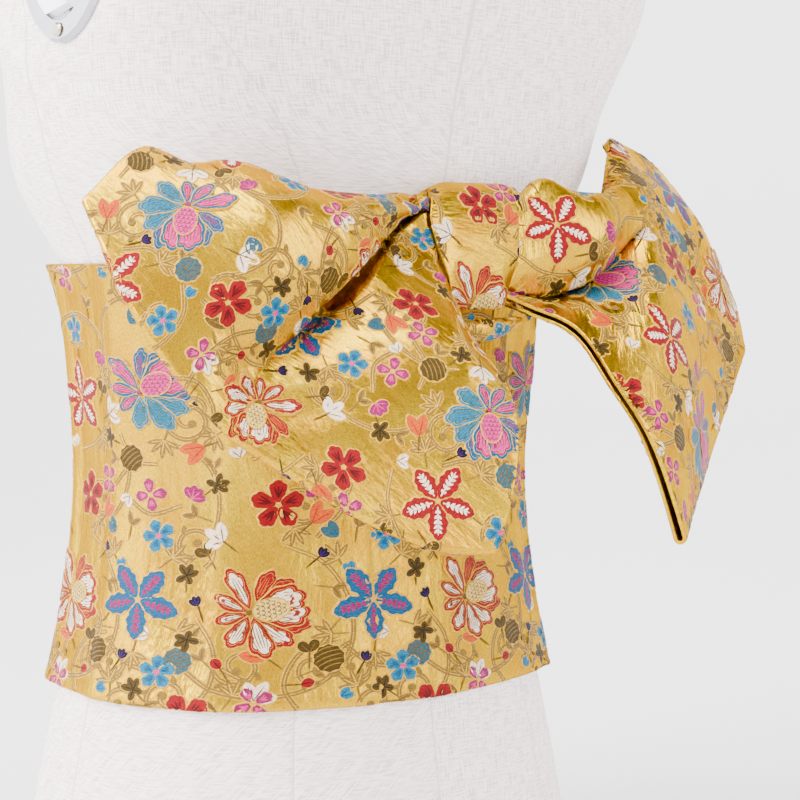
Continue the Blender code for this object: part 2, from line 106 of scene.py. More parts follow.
# One row for each section of a wing, from its gathered root (along 0) to its outer fold (1):
# the open lower edge, how far the lower panel swells there, the valley of the main fold, how
# far the roll above it swells, the highest point, and how far the cloth turns down behind it.
# Points are (sideways, out, up); full_roll is 1 for a round roll that rises straight from the
# valley and 0 where the fold has died out.
LEFT_WING = rows_of(
    Section,
    (0, (1.4, 12.4, 9.1), (0, 0.2, 0), (2, 11.9, 12.2), (0, 0.1, 0), (2.1, 11.5, 13), 0, 0),
    (0.06, (2, 12.85, 8.75), (0, 0.1, 0), (2.8, 12.4, 12.5), (0, 0.1, 0), (2.8, 12, 13.3), 0, 0.2),
    (0.13, (2.2, 13.8, 8.1), (0, 0.1, 0), (3.5, 12.3, 12), (0, 0.7, 0), (3.8, 11.8, 13.3), 0.2, 0.9),
    (0.25, (2.8, 15.3, 7.1), (0, 0.2, 0), (5, 12.6, 11.1), (0.2, 1.2, 0), (5.7, 12.2, 13.2), 0.5, 1),
    (0.45, (3.4, 17.9, 5.3), (0.1, 0.4, 0.2), (7.3, 12.9, 9.7), (0.5, 1.9, -0.2), (8.6, 11.9, 13.4), 0.5, 1),
    (0.7, (4.1, 19.2, 2.9), (0.2, 0.4, 0.2), (10.1, 12.8, 7.7), (1.2, 2.3, -0.4), (12.4, 10.4, 14.4), 0.4, 1),
    (0.87, (4.8, 19.5, 0.9), (0.2, 0.3, -0.1), (12.4, 13.2, 5.8), (1.1, 1.2, -0.3), (15.1, 9.4, 14.6), 0.1, 0.4),
    (1, (5.4, 19.4, -0.9), (-0.4, 0.9, -1.3), (14.2, 14.4, 3.8), (0.9, 0.3, -0.5), (17.6, 8.8, 12.9), 0, 0),
)
RIGHT_WING = rows_of(
    Section,
    (0, (0.6, 12.4, 9.4), (0, 0, 0), (0.7, 12.3, 9.7), (0, 0.6, 0), (2, 11.3, 13.2), 0, 0.3),
    (0.06, (1.5, 12.8, 9), (0, 0, 0), (1.7, 12.5, 9.2), (-0.1, 0.8, 0), (2.9, 11.6, 13.7), 0, 0.5),
    (0.13, (2.8, 13.1, 8.5), (0, 0.1, 0), (3.5, 12.6, 8.8), (0.2, 1.1, 0), (3.9, 12, 14), 0.4, 1),
    (0.25, (3.7, 14.6, 7.7), (0, 0.1, 0), (5.4, 12.9, 9), (0.4, 1.3, 0), (5.8, 12.4, 13.7), 0.5, 1),
    (0.45, (4, 17, 5.1), (0, 0.2, 0), (8, 12.9, 10.5), (0.3, 0.9, 0.1), (8.5, 12, 13.6), 0.5, 1),
    (0.62, (4.5, 18.2, 3.2), (0.2, 0.4, 0.2), (10.3, 13.1, 12), (0.2, 0.5, 0.1), (10.8, 9.8, 15.4), 0, 0.4),
    (0.8, (5.1, 18.8, 1.2), (0.2, 0.4, 0), (13.4, 12.9, 9.7), (0.4, 0.6, 0.1), (12.8, 8.6, 16.2), 0, 0),
    (0.9, (5.5, 19, -0.1), (0, 0.1, -0.7), (15.1, 13, 8), (0.6, 0.5, 0), (15.5, 8.6, 15.1), 0, 0),
    (1, (5.9, 19.1, -1.3), (-0.4, -0.3, -1.5), (16.7, 13.1, 6.3), (0.6, 0.3, -0.3), (17.6, 8.7, 12.9), 0, 0),
)

# The wrap strip's outer face, going round from its lower front: out, up, and its two sides.
WRAP = rows_of(
    WrapRow,
    (13.0, 8.4, 1.9, -1.2),
    (13.3, 9.6, 2.3, -1.4),
    (13.1, 11.0, 2.6, -1.8),
    (12.6, 12.4, 2.6, -2.2),
    (11.8, 13.55, 1.75, -2.6),
    (11.0, 13.85, 1.5, -2.6),
    (10.5, 13.3, 1.6, -2.5),
    (10.15, 12.2, 2.3, -2.4),
    (9.85, 10.8, 2.2, -2.2),
    (9.8, 9.6, 2.0, -2.0),
    (10.4, 8.9, 1.9, -1.8),
    (11.7, 8.7, 1.8, -1.4),
)

# The lowest pleat of the gathered middle: its middle line from the left wing to the right.
LOW_PLEAT = rows_of(
    PleatRow,
    (1.9, 12.8, 7.70, 0.75),
    (1.2, 13.0, 7.70, 0.80),
    (-0.3, 13.2, 7.75, 0.80),
    (-1.4, 13.0, 7.90, 0.55),
    (-2.3, 12.7, 8.05, 0.30),
)


def curve_through(stations, values, at):
    """Smooth values at the given stations: a cubic Hermite curve with Catmull-Rom slopes."""
    stations = np.asarray(stations, float)
    values = np.asarray(values, float).reshape(len(stations), -1)
    slopes = np.gradient(values, stations, axis=0)
    at = np.clip(np.asarray(at, float), stations[0], stations[-1])
    low = np.clip(np.searchsorted(stations, at, side="right") - 1, 0, len(stations) - 2)
    span = (stations[low + 1] - stations[low])[:, None]
    t = (at - stations[low])[:, None] / span
    start, end = values[low], values[low + 1]
    out_slope, in_slope = slopes[low] * span, slopes[low + 1] * span
    return (
        start * (2 * t**3 - 3 * t**2 + 1)
        + out_slope * (t**3 - 2 * t**2 + t)
        + end * (3 * t**2 - 2 * t**3)
        + in_slope * (t**3 - t**2)
    )


def unit(vectors):
    """The vectors scaled to length 1."""
    return vectors / np.maximum(np.linalg.norm(vectors, axis=-1, keepdims=True), 1e-9)


def travelled(points, axis):
    """How far each point of a grid is from the first one along an axis, by straight steps."""
    steps = np.linalg.norm(np.diff(points, axis=axis), axis=-1)
    return np.insert(np.cumsum(steps, axis=axis), 0, 0, axis=axis)


def form_ring(up, angles):
    """Points of the form's skin at a height in cm above the waist, in metres from its axis."""
    stations = [row.up for row in FORM]
    half_width, front, back, square_front, square_back = curve_through(
        stations, [row[1:] for row in FORM], [up]
    )[0]
    cos, sin = np.cos(angles), np.sin(angles)
    square = np.where(sin > 0, square_back, square_front)
    side = half_width * np.sign(cos) * np.abs(cos) ** (2 / square)
    out = np.where(sin > 0, back, front) * np.sign(sin) * np.abs(sin) ** (2 / square)
    apex = (np.abs(side) - BUST.side) / BUST.width
    rise = (up - BUST.up) / BUST.height
    out = out - BUST.reach * np.exp(-(apex**2) - rise**2) * np.clip(-sin * BUST_SPREAD, 0, 1)
    flat = np.interp(up, (ARM_FLAT.low_up, ARM_FLAT.high_up), (ARM_FLAT.low_side, ARM_FLAT.high_side))
    side = np.clip(side, -flat, flat)
    return np.stack([side * CM, out * CM, np.full_like(side, up * CM + WAIST_HEIGHT)], axis=-1)


def ring_angles(count):
    return np.arange(count) * 2 * math.pi / count


# The band's slack: where round it, its half width in degrees, its height in mm and its lean upwards.
BAND_FOLDS = [
    (-152, 5.0, 1.2, 6), (-118, 7.0, 0.9, -8), (-84, 6.0, 1.1, 5), (-47, 4.5, 1.3, 6),
    (-20, 5.0, 1.2, -5), (2, 3.5, 1.5, 4), (19, 4.0, 1.4, -3), (37, 3.5, 1.3, 5), (58, 4.5, 1.2, -4),
    (124, 4.5, 1.2, 4), (136, 1.4, 1.6, -2), (146, 4.0, 1.4, -5), (168, 4.5, 1.2, 4),
]


# Its flat facets, each ending in a step: where, the degrees it rises and falls over, its height in mm.
BAND_STEPS = [
    (-101, 13, 2.6, 2.0), (-30, 3.0, 15, 1.6), (76, 14, 2.8, 1.8), (144, 18, 2.4, 2.4), (-172, 2.6, 16, 1.8),
]


def half_turn(degrees):
    """The same directions between -180 and 180 degrees."""
    return (degrees + 180) % 360 - 180


def band_surface(ups, angles):
    """The inside of the band: the form's skin, eased off it, with its slack and facets."""
    wave = np.maximum(0, np.sin(angles * BAND_WAVES + 0.6 * np.sin(2 * angles)))
    rings = []
    for up in ups:
        ring = form_ring(up, angles)
        out = unit(ring * (1, 1, 0) - ring.mean(axis=0) * (1, 1, 0))
        ease = BAND_EASE + 2 * BAND_RIPPLE * wave
        share_up = (up - BAND_BOTTOM) / (BAND_TOP - BAND_BOTTOM)
        for degrees, width, height, lean in BAND_FOLDS:
            off = half_turn(np.degrees(angles) - degrees - lean * share_up)
            ease = ease + height * MM * np.exp(-((off / width) ** 2))
        for degrees, rise, fall, height in BAND_STEPS:
            off = half_turn(np.degrees(angles) - degrees)
            ease = ease + height * MM * smooth_step(np.where(off < 0, 1 + off / rise, 1 - off / fall))
        rings.append(ring + out * ease[:, None])
    return np.array(rings)


def rib(section, count):
    """Points across a wing at one section: up its lower panel, over its roll and down behind."""
    low, belly, valley, roll, top = (np.array(point, float) for point in section[1:6])
    below = round(count * LOWER_SHARE)
    t = 1 - (1 - np.linspace(0, 1, below, endpoint=False)[:, None]) ** 1.5
    lower = low + (valley - low) * t + belly * np.sin(math.pi * t)
    turn = np.linspace(0, 1, count - below)[:, None] ** 1.5 * (1 + section.turn)
    rise = np.minimum(turn, 1)
    rise = rise + ((1 - np.cos(math.pi * rise)) / 2 - rise) * section.full_roll
    front = valley + (top - valley) * rise + roll * np.sin(math.pi * turn)
    past = math.pi * (turn - 1)
    onward = (top - valley) * (1 - section.full_roll) / math.pi - roll
    behind = top + onward * np.sin(past) - (top - valley) * (1 - np.cos(past)) / 2
    return np.concatenate([lower, np.where(turn < 1, front, behind)]) * CM


def wing_face(sections, side, along, across):
    """The outer face of a wing as a grid of points, rows from the root to the outer fold."""
    ribs = np.array([rib(section, across) for section in sections])
    stations = [section.along for section in sections]
    at = np.linspace(0, 1, along)
    face = curve_through(stations, ribs.reshape(len(sections), -1), at).reshape(along, across, 3)
    face = crease(tuck_roll(face, at, side), CREASES[side])
    return face * (side, 1, 1) + (0, 0, WAIST_HEIGHT)


# How far the roll's foot hangs over the main fold, and how far the fold is drawn up and in, in
# cm by its place along the wing.
LIPS = {
    1: ((0, 0.0), (0.08, 0.30), (0.2, 0.48), (0.45, 0.52), (0.65, 0.50), (0.8, 0.15), (0.9, 0.0), (1, 0.0)),
    -1: ((0, 0.0), (0.08, 0.20), (0.2, 0.50), (0.4, 0.60), (0.52, 0.35), (0.65, 0.0), (1, 0.0)),
}
LIFTS = {
    1: ((0, 0.0), (0.08, 0.20), (0.2, 0.90), (0.4, 1.05), (0.6, 0.50), (0.74, 0.0), (1, 0.0)),
    -1: ((0, 0.0), (0.1, 0.0), (0.25, 0.15), (0.4, 0.15), (0.6, 0.0), (1, 0.0)),
}
SINKS = {
    1: ((0, 0.0), (0.1, 0.2), (0.3, 0.6), (0.6, 0.6), (0.78, 0.0), (1, 0.0)),
    -1: ((0, 0.0), (0.08, 0.2), (0.25, 0.8), (0.42, 0.7), (0.6, 0.0), (1, 0.0)),
}
LIFT_REACH = 16 * MM
LIFT_INWARDS = 0.35  # of the lift
# How deep the slit beneath the roll is, in cm by its place along the wing, and how wide.
SLITS = {
    1: ((0, 0.0), (0.05, 0.4), (0.15, 0.8), (0.6, 0.8), (0.7, 0.5), (0.78, 0.0), (1, 0.0)),
    -1: ((0, 0.0), (0.05, 0.4), (0.12, 0.7), (0.42, 0.7), (0.52, 0.4), (0.6, 0.0), (1, 0.0)),
}
SLIT_WIDTH = 1.9 * MM
LIP_REACH = 9.5 * MM  # from the fold to where the lip hangs over it most
LIP_SPAN = 18 * MM  # in which the lip's lowest line is looked for
TIP_PASSES = 4  # that smooth the line along the wing
BELOW_FOLD, ABOVE_FOLD = 8, 6  # columns from the fold to those that give its two sides' directions
# Lesser folds: (along, across) of both ends, height in mm (a hollow below 0) and half width in mm.
Crease = namedtuple("Crease", "start end height width")
CREASES = {
    1: rows_of(
        Crease,
        ((0.02, 0.16), (0.75, 0.06), 1.6, 9),
        ((0.03, 0.30), (0.62, 0.26), -1.4, 8),
        ((0.05, 0.64), (0.55, 0.72), -2.0, 7),
        ((0.03, 0.72), (0.40, 0.80), 1.5, 5),
        ((0.02, 0.78), (0.48, 0.86), -1.6, 6),
        ((0.50, 0.80), (0.99, 0.66), 2.2, 13),
        ((0.60, 0.62), (0.99, 0.56), -1.8, 12),
        ((0.80, 0.20), (0.99, 0.44), -1.2, 10),
    ),
    -1: rows_of(
        Crease,
        ((0.03, 0.20), (0.60, 0.14), 1.4, 8),
        ((0.05, 0.36), (0.70, 0.30), -1.7, 8),
        ((0.04, 0.60), (0.42, 0.66), -2.0, 6),
        ((0.03, 0.70), (0.50, 0.78), 1.6, 6),
        ((0.03, 0.80), (0.36, 0.88), -1.7, 5),
        ((0.62, 0.55), (0.97, 0.40), -1.8, 12),
        ((0.60, 0.80), (0.95, 0.84), 1.6, 12),
    ),
}


def from_fold(face):
    """The main fold's column, and how far each point is across the wing from it, less than 0 below."""
    foot = round(face.shape[1] * LOWER_SHARE)
    reach = travelled(face, 1)
    return foot, reach - reach[:, foot : foot + 1]


def tuck_roll(face, at, side):
    """Draws the main fold up and brings the roll's foot over it, so the fold closes to a slit."""
    foot, reach = from_fold(face)
    lift, sink = (np.interp(at, *zip(*table[side])) for table in (LIFTS, SINKS))
    drawn = np.stack([np.zeros_like(lift), -LIFT_INWARDS * lift - sink, lift], axis=-1)[:, None] * CM
    face = face + drawn * np.exp(-((reach / LIFT_REACH) ** 2))[..., None]
    down = unit(face[:, foot - BELOW_FOLD] - face[:, foot])
    ahead = unit(face[:, foot + ABOVE_FOLD] - face[:, foot])
    across = unit(down - ahead * np.sum(down * ahead, axis=-1, keepdims=True))
    reach = np.maximum(reach, 0) / LIP_REACH
    size = np.interp(at, *zip(*LIPS[side]))[:, None] * CM * reach * np.exp((1 - reach**2) / 2)
    return face + across[:, None] * size[..., None]


def slit_fold(face, side):
    """Pushes the cloth beneath the roll's lip back, so a deep slit runs along the main fold."""
    foot, reach = from_fold(face)
    down = unit(face[:, foot - BELOW_FOLD] - face[:, foot])
    past = np.sum((face - face[:, foot : foot + 1]) * down[:, None], axis=-1)
    past = np.where((reach >= 0) & (reach < LIP_SPAN), past, 0)
    tip = past.argmax(axis=1)[:, None]
    past, tip = (np.take_along_axis(values, tip, axis=1) for values in (past, np.maximum(reach, 0)))
    for _ in range(TIP_PASSES):
        past, tip = (np.pad(values, ((1, 1), (0, 0)), mode="edge") for values in (past, tip))
        past, tip = ((values[:-2] + 2 * values[1:-1] + values[2:]) / 4 for values in (past, tip))
    below = smooth_step((reach + past + SLIT_WIDTH) / (0.6 * SLIT_WIDTH))
    above = 1 - smooth_step((reach - tip + SLIT_WIDTH) / SLIT_WIDTH)
    depth = np.interp(np.linspace(0, 1, len(face)), *zip(*SLITS[side]))[:, None] * CM
    return face - np.array(TOWARDS_CAMERA) * (depth * np.where(reach < 0, below, above))[..., None]


def smooth_step(share):
    """A share from 0 to 1 that leaves 0 and reaches 1 gently."""
    share = np.clip(share, 0, 1)
    return share * share * (3 - 2 * share)


def crease(face, creases):
    """Raises or sinks a wing's face along its lesser folds, fading out at their ends."""
    normals = grid_normals(face)
    normals *= np.sign(normals[..., 1].mean())
    rows, columns = face.shape[:2]
    along, across = np.meshgrid(np.linspace(0, 1, rows), np.linspace(0, 1, columns), indexing="ij")
    girth = travelled(face, 1)[:, -1:]
    shift = np.zeros_like(along)
    for start, end, height, width in creases:
        share = np.clip((along - start[0]) / (end[0] - start[0]), 0, 1)
        middle = start[1] + (end[1] - start[1]) * share
        off = (across - middle) * girth / (width * MM * (0.6 + 0.8 * share))
        outside = (along < start[0]) | (along > end[0])
        fade = np.where(outside, 0, np.sin(math.pi * share) ** 0.6)
        shift += height * MM * fade * np.exp(-(off**2))
    return face + normals * shift[..., None]


def face_normals(face, side, opening):
    """Normals of a wing's outer face, away from the form, longer where it bends, as a mitre is."""
    steps = unit(np.diff(face, axis=1))
    after = np.concatenate([steps, steps[:, -1:]], axis=1)
    before = np.concatenate([steps[:, :1], steps], axis=1)
    across = unit(before + after)
    half_bend = np.sum(across * after, axis=-1, keepdims=True)
    normals = unit(np.cross(across, np.gradient(face, axis=0))) * side
    eased = normals
    for _ in range(EASE_PASSES):
        inner = (eased[:, :-2] + 2 * eased[:, 1:-1] + eased[:, 2:]) / 4
        eased = np.concatenate([eased[:, :1], inner, eased[:, -1:]], axis=1)
    normals = unit(eased + (normals - eased) * opening)
    return normals / np.maximum(half_bend, 1 / MITRE_LIMIT)


def around(rows, count):
    """The rows of a closed loop's table, resampled evenly to count rows."""
    table = np.array(rows, float)
    lap = len(table)
    padded = np.concatenate([table[-2:], table, table[:3]])
    return curve_through(np.arange(-2, lap + 3), padded, np.linspace(0, lap, count, endpoint=False))


# ---------------------------------------------------------------- camera, light and stage

VIEW_AZIMUTH = math.radians(142)
VIEW_DISTANCE = 1.03
VIEW_HEIGHT = 0.303
LENS = 97.1
SHIFT = (0.125, -0.156)
TOWARDS_CAMERA = Vector((math.sin(VIEW_AZIMUTH), -math.cos(VIEW_AZIMUTH), 0))
CAMERA_RIGHT = Vector((-TOWARDS_CAMERA.y, TOWARDS_CAMERA.x, 0))
# Name, place, size in metres, power in watts and aim; the last one lights the wall behind.
LIGHTS = [
    ("key", (-1.5, 1.1, 1.35), (1.1, 1.6), 120),
    ("fill", (1.6, 0.9, 1.1), (1.1, 1.7), 44),
    ("side", (-1.9, 0.1, 0.9), (1.6, 1.8), 56),
    ("top", (-0.2, 0.5, 2.0), (1.3, 1.3), 80),
    ("wall", (0.4, -1.0, 2.1), (1.2, 1.2), 92, (0.5, -3.0, 0.9)),
]
STAGE_AROUND = 48
STAGE_GAP = 0.5 * MM  # beneath the form
# The stage from its middle out to its wall: radius and height in metres.
STAGE_PROFILE = [(0.032, 0.0), (1.6, 0.0), (2.2, 0.08), (2.7, 0.35), (3.0, 0.9), (3.1, 1.8), (3.1, 3.2)]


def link(obj):
    bpy.context.scene.collection.objects.link(obj)
    return obj


def add_camera():
    """The camera, level with the middle of the bow; the shift frames the sash off centre."""
    camera = link(bpy.data.objects.new("camera", bpy.data.cameras.new("camera")))
    camera.data.lens = LENS
    camera.data.shift_x, camera.data.shift_y = SHIFT
    camera.location = TOWARDS_CAMERA * VIEW_DISTANCE + Vector((0, 0, VIEW_HEIGHT))
    camera.rotation_euler = (-TOWARDS_CAMERA).to_track_quat("-Z", "Y").to_euler()
    bpy.context.scene.camera = camera


def add_light(name, place, size, power, aim=(0, 0, 0.25)):
    """A softbox, placed and aimed by metres to the camera's right, towards it and up."""
    light = link(bpy.data.objects.new(name, bpy.data.lights.new(name, "AREA")))
    light.data.shape = "RECTANGLE"
    light.data.size, light.data.size_y = size
    light.data.energy = power
    spot, target = (
        CAMERA_RIGHT * right + TOWARDS_CAMERA * near + Vector((0, 0, up)) for right, near, up in (place, aim)
    )
    light.location = spot
    light.rotation_euler = (target - spot).to_track_quat("-Z", "Y").to_euler()


def add_stage():
    """A pale floor that curves up into a wall all round, and a pale sky."""
    angles = ring_angles(STAGE_AROUND)
    points = np.array([
        np.stack([radius * np.cos(angles), radius * np.sin(angles), np.full_like(angles, up)], axis=-1)
        for radius, up in STAGE_PROFILE
    ])
    faces = grid_faces(*points.shape[:2], close_columns=True)
    stage = mesh_object("stage", points.reshape(-1, 3) - (0, 0, STAGE_GAP), faces)
    stage.data.materials.append(Nodes("stage", Base_Color=(0.84, 0.84, 0.86, 1), Roughness=0.9).material)
    world = bpy.data.worlds.new("sky")
    world.use_nodes = True
    sky = world.node_tree.nodes["Background"]
    sky.inputs["Color"].default_value = (0.96, 0.965, 1.0, 1)
    sky.inputs["Strength"].default_value = 0.13
    bpy.context.scene.world = world


# ---------------------------------------------------------------- mesh helpers


def grid_faces(rows, columns, close_rows=False, close_columns=False):
    """Quads between the points of a grid, as rows of four indices."""
    i = np.arange(rows if close_rows else rows - 1)
    j = np.arange(columns if close_columns else columns - 1)
    i, j = np.meshgrid(i, j, indexing="ij")
    after_i, after_j = (i + 1) % rows, (j + 1) % columns
    corners = [i * columns + j, i * columns + after_j, after_i * columns + after_j, after_i * columns + j]
    return np.stack(corners, axis=-1).reshape(-1, 4)


def mesh_object(name, points, faces, turn_out=False):
    """A smooth shaded object; turn_out makes a closed surface face outwards."""
    mesh = bpy.data.meshes.new(name)
    mesh.from_pydata(np.asarray(points).tolist(), [], [list(map(int, face)) for face in faces])
    if turn_out:
        shape = bmesh.new()
        shape.from_mesh(mesh)
        bmesh.ops.recalc_face_normals(shape, faces=shape.faces)
        shape.to_mesh(mesh)
        shape.free()
    mesh.shade_smooth()
    return link(bpy.data.objects.new(name, mesh))


def set_uv(obj, name, coordinates):
    """A UV map from one (u, v) for each vertex."""
    layer = obj.data.uv_layers.new(name=name)
    index = np.empty(len(obj.data.loops), dtype=np.int32)
    obj.data.loops.foreach_get("vertex_index", index)
    layer.data.foreach_set("uv", np.asarray(coordinates)[index].astype(np.float32).ravel())


def grid_normals(points):
    """Unit normals of a grid: across its columns, then along its rows, by the right hand."""
    return unit(np.cross(np.gradient(points, axis=1), np.gradient(points, axis=0)))


EDGE_TURNS = np.radians((22.5, 45, 67.5, 90, 112.5, 135, 157.5))
EDGE_SLIT = 0.45  # how deep the slit between the two folded edges of a doubled cloth is
EDGE_ROWS = 3  # of the edge's points, that its outer face takes in


def shell(middle, normals, wall, rise=None):
    """The loop round a doubled cloth at each row of its middle surface, and its outer face.

    Its first and last columns are folded to rounded edges, which the outer face goes on over.
    A slit parts the two layers there, unless a rise is given, which the edges then point along."""
    normals, half = unit(normals), wall / 2

    def edge(column, inside, way):
        out = unit(middle[:, column] - middle[:, inside]) if rise is None else np.array(rise) * way
        points = []
        for turn in EDGE_TURNS:
            slit = EDGE_SLIT if rise is None and abs(turn - math.pi / 2) < 0.1 else 0
            reach = out * math.sin(turn) * (1 - slit)
            points.append(middle[:, column] + (normals[:, column] * math.cos(turn) + reach) * half)
        return points

    near, far = edge(0, 1, -1), edge(-1, -2, 1)
    outer, inner = (list(np.moveaxis(middle + normals * reach, 1, 0)) for reach in (half, -half))
    loop = outer + far + inner[::-1] + near[::-1]
    face = near[:EDGE_ROWS][::-1] + outer + far[:EDGE_ROWS]
    return np.stack(loop, axis=1), np.stack(face, axis=1)


def slab(name, middle, normals, wall):
    """A doubled cloth about its middle surface, closed at its first and last rows, and its outer face."""
    points, face = shell(middle, normals, wall)
    rows, columns = points.shape[:2]
    faces = grid_faces(rows, columns, close_columns=True).tolist()
    count, turns = middle.shape[1], len(EDGE_TURNS)
    for start in (0, (rows - 1) * columns):
        back = [start + 2 * count + turns - 1 - j for j in range(count)]
        faces += [[start + j, start + j + 1, back[j + 1], back[j]] for j in range(count - 1)]
        faces.append([start + count - 1 + k for k in range(turns + 2)])
        faces.append([start + (2 * count + turns - 1 + k) % columns for k in range(turns + 2)])
    return mesh_object(name, points.reshape(-1, 3), faces, turn_out=True), face


# ---------------------------------------------------------------- the cloth laid flat, for the pattern


RELAXATION = 0.3
COARSE_PASSES, FINE_PASSES, REAR_PASSES = 900, 150, 200


def flatten(points, passes, start=None, held=0):
    """Lays a grid of cloth out flat: coordinates in metres that keep its own lengths as well as can be.

    The first held rows stay where start puts them."""
    if start is None:
        u, v = travelled(points, 0).mean(axis=1), travelled(points, 1)
        middle = points.shape[1] // 2
        start = np.stack([np.broadcast_to(u[:, None], v.shape), v - v[:, middle : middle + 1]], axis=-1)
    flat = start.astype(float).copy()
    every, ahead, behind = slice(None), slice(1, None), slice(None, -1)
    pairs = [
        ((behind, every), (ahead, every)),
        ((every, behind), (every, ahead)),
        ((behind, behind), (ahead, ahead)),
        ((behind, ahead), (ahead, behind)),
    ]
    lengths = [np.linalg.norm(points[b] - points[a], axis=-1, keepdims=True) for a, b in pairs]
    for _ in range(passes):
        moved = np.zeros_like(flat)
        for (a, b), length in zip(pairs, lengths):
            gap = flat[b] - flat[a]
            now = np.maximum(np.linalg.norm(gap, axis=-1, keepdims=True), 1e-9)
            pull = gap * (1 - length / now) / 2
            moved[a] += pull
            moved[b] -= pull
        moved[:held] = 0
        flat += moved * RELAXATION
    return flat


def resample(grid, rows, columns):
    """A grid's values at evenly spaced places, by straight lines between its points."""
    i, j = np.linspace(0, grid.shape[0] - 1, rows), np.linspace(0, grid.shape[1] - 1, columns)
    low_i = np.minimum(i.astype(int), grid.shape[0] - 2)
    low_j = np.minimum(j.astype(int), grid.shape[1] - 2)
    ti, tj = (i - low_i)[:, None, None], (j - low_j)[None, :, None]
    a, b = grid[low_i][:, low_j], grid[low_i][:, low_j + 1]
    c, d = grid[low_i + 1][:, low_j], grid[low_i + 1][:, low_j + 1]
    return (a * (1 - tj) + b * tj) * (1 - ti) + (c * (1 - tj) + d * tj) * ti


def flat_cloth(points):
    """The flat layout of a fine grid, found on a coarse one first."""
    rows, columns = points.shape[:2]
    coarse = resample(points, max(rows // 4, 8), max(columns // 4, 5))
    return flatten(points, FINE_PASSES, resample(flatten(coarse, COARSE_PASSES), rows, columns))


def flat_doubled(points, front):
    """The flat layout of a doubled cloth: its front rows first, and the rest laid on from them."""
    rows, columns = points.shape[:2]
    flat = flat_cloth(points[:front])
    ahead = unit((flat[-1] - flat[-3]).mean(axis=0))
    onward = travelled(points[front - 1 :], 0).mean(axis=1)[1:, None, None]
    start = np.concatenate([flat, flat[-1] + onward * ahead])
    low = [rows // 4, columns // 4]
    held = math.ceil(front * low[0] / rows)
    coarse = flatten(resample(points, *low), COARSE_PASSES, resample(start, *low), held)
    first = resample(coarse, rows, columns)
    first[:front] = flat
    return flatten(points, REAR_PASSES, first, front)


class Face:
    """The outer face of a cloth piece, with its flat layout, for figures woven into it.

    Out is which way it faces at each point of the cloth between its rounded edges."""

    def __init__(self, points, flat, out):
        self.points = points.reshape(-1, 3)
        self.flat = flat.reshape(-1, 2)
        normals = grid_normals(points)
        facing = np.sum(normals[:, EDGE_ROWS:-EDGE_ROWS] * out, axis=-1).mean()
        self.normals = (normals * np.sign(facing)).reshape(-1, 3)
        quads = grid_faces(*points.shape[:2])
        self.triangles = np.concatenate([quads[:, [0, 1, 2]], quads[:, [0, 2, 3]]])
        layout = np.column_stack([self.flat, np.zeros(len(self.flat))])
        self.tree = BVHTree.FromPolygons(layout.tolist(), self.triangles.tolist())

    def lift(self, flat, heights):
        """Whether flat points meet the cloth, their places on it, raised by heights, and its normals."""
        down = Vector((0, 0, -1))
        found = [self.tree.ray_cast(Vector((u, v, 1)), down)[2] for u, v in flat.tolist()]
        on_cloth = np.array([index is not None for index in found])
        corners = self.triangles[[index or 0 for index in found]]
        a, b, c = (self.flat[corners[:, k]] for k in range(3))

        def twice_area(p, q):
            return p[:, 0] * q[:, 1] - p[:, 1] * q[:, 0]

        area = twice_area(b - a, c - a)
        area = np.where(np.abs(area) < 1e-14, 1e-14, area)
        to_b, to_c = twice_area(flat - a, c - a) / area, twice_area(b - a, flat - a) / area
        weights = np.stack([1 - to_b - to_c, to_b, to_c], axis=-1)[:, :, None]
        place = (self.points[corners] * weights).sum(axis=1)
        normal = unit((self.normals[corners] * weights).sum(axis=1))
        return on_cloth, place + normal * heights[:, None], normal


# ---------------------------------------------------------------- the woven figures


def srgb(red, green, blue):
    """A colour as seen on a display, 0 to 255, in Blender's linear numbers."""
    value = np.array([red, green, blue]) / 255
    return np.where(value < 0.04045, value / 12.92, ((value + 0.055) / 1.055) ** 2.4)


THREADS = {
    "halo": srgb(186, 140, 30),
    "tan": srgb(86, 60, 16),
    "pale": srgb(112, 84, 24),
    "olive": srgb(58, 42, 0),
    "deep_olive": srgb(24, 16, 0),
    "red": srgb(116, 0, 6),
    "deep_red": srgb(66, 0, 3),
    "white": srgb(214, 190, 166),
    "cream": srgb(196, 162, 82),
    "blue": srgb(4, 66, 98),
    "sky": srgb(14, 92, 118),
    "grey_blue": srgb(38, 70, 76),
    "magenta": srgb(120, 14, 70),
    "pink": srgb(178, 46, 102),
    "violet": srgb(40, 4, 64),
    "peach": srgb(170, 66, 8),
    "orange": srgb(138, 38, 0),
    "navy": srgb(4, 4, 26),
}
GROUND_LIFT = 0.24 * MM
SUNK = -1000  # the layer of an edge that is sewn down into the ground
LAYER_LIFT = 0.03 * MM
SEWN_DOWN = -0.2  # how deep a sunk edge lies in the ground, by the ground's lift


def leaf(length, width, point=0.8, base=0.6, waves=0, depth=0.0, count=26):
    """The outline of a leaf or petal from (0, 0) along +x; a larger point makes its tip sharper."""
    turn = np.linspace(0, 2 * math.pi, count, endpoint=False)
    s = (1 - np.cos(turn)) / 2
    half = s**base * (1 - s) ** point
    half = half / half.max() * width / 2
    half = half * (1 + depth * np.cos(waves * turn))
    return np.stack([s * length, half * np.sign(np.sin(turn) + 1e-12)], axis=-1)


def petal(length, width, lobes=3, depth=0.10, count=34):
    """A broad petal from (0, 0) along +x, with rounded lobes round its far edge."""
    outline = leaf(length, width, 0.42, 0.85, count=count)
    turn = np.linspace(-math.pi, math.pi, count, endpoint=False)
    away = unit(outline - (0.4 * length, 0))
    lobe = np.abs(np.cos(lobes * turn))[:, None] - 0.5
    return outline + away * lobe * outline[:, :1] * depth


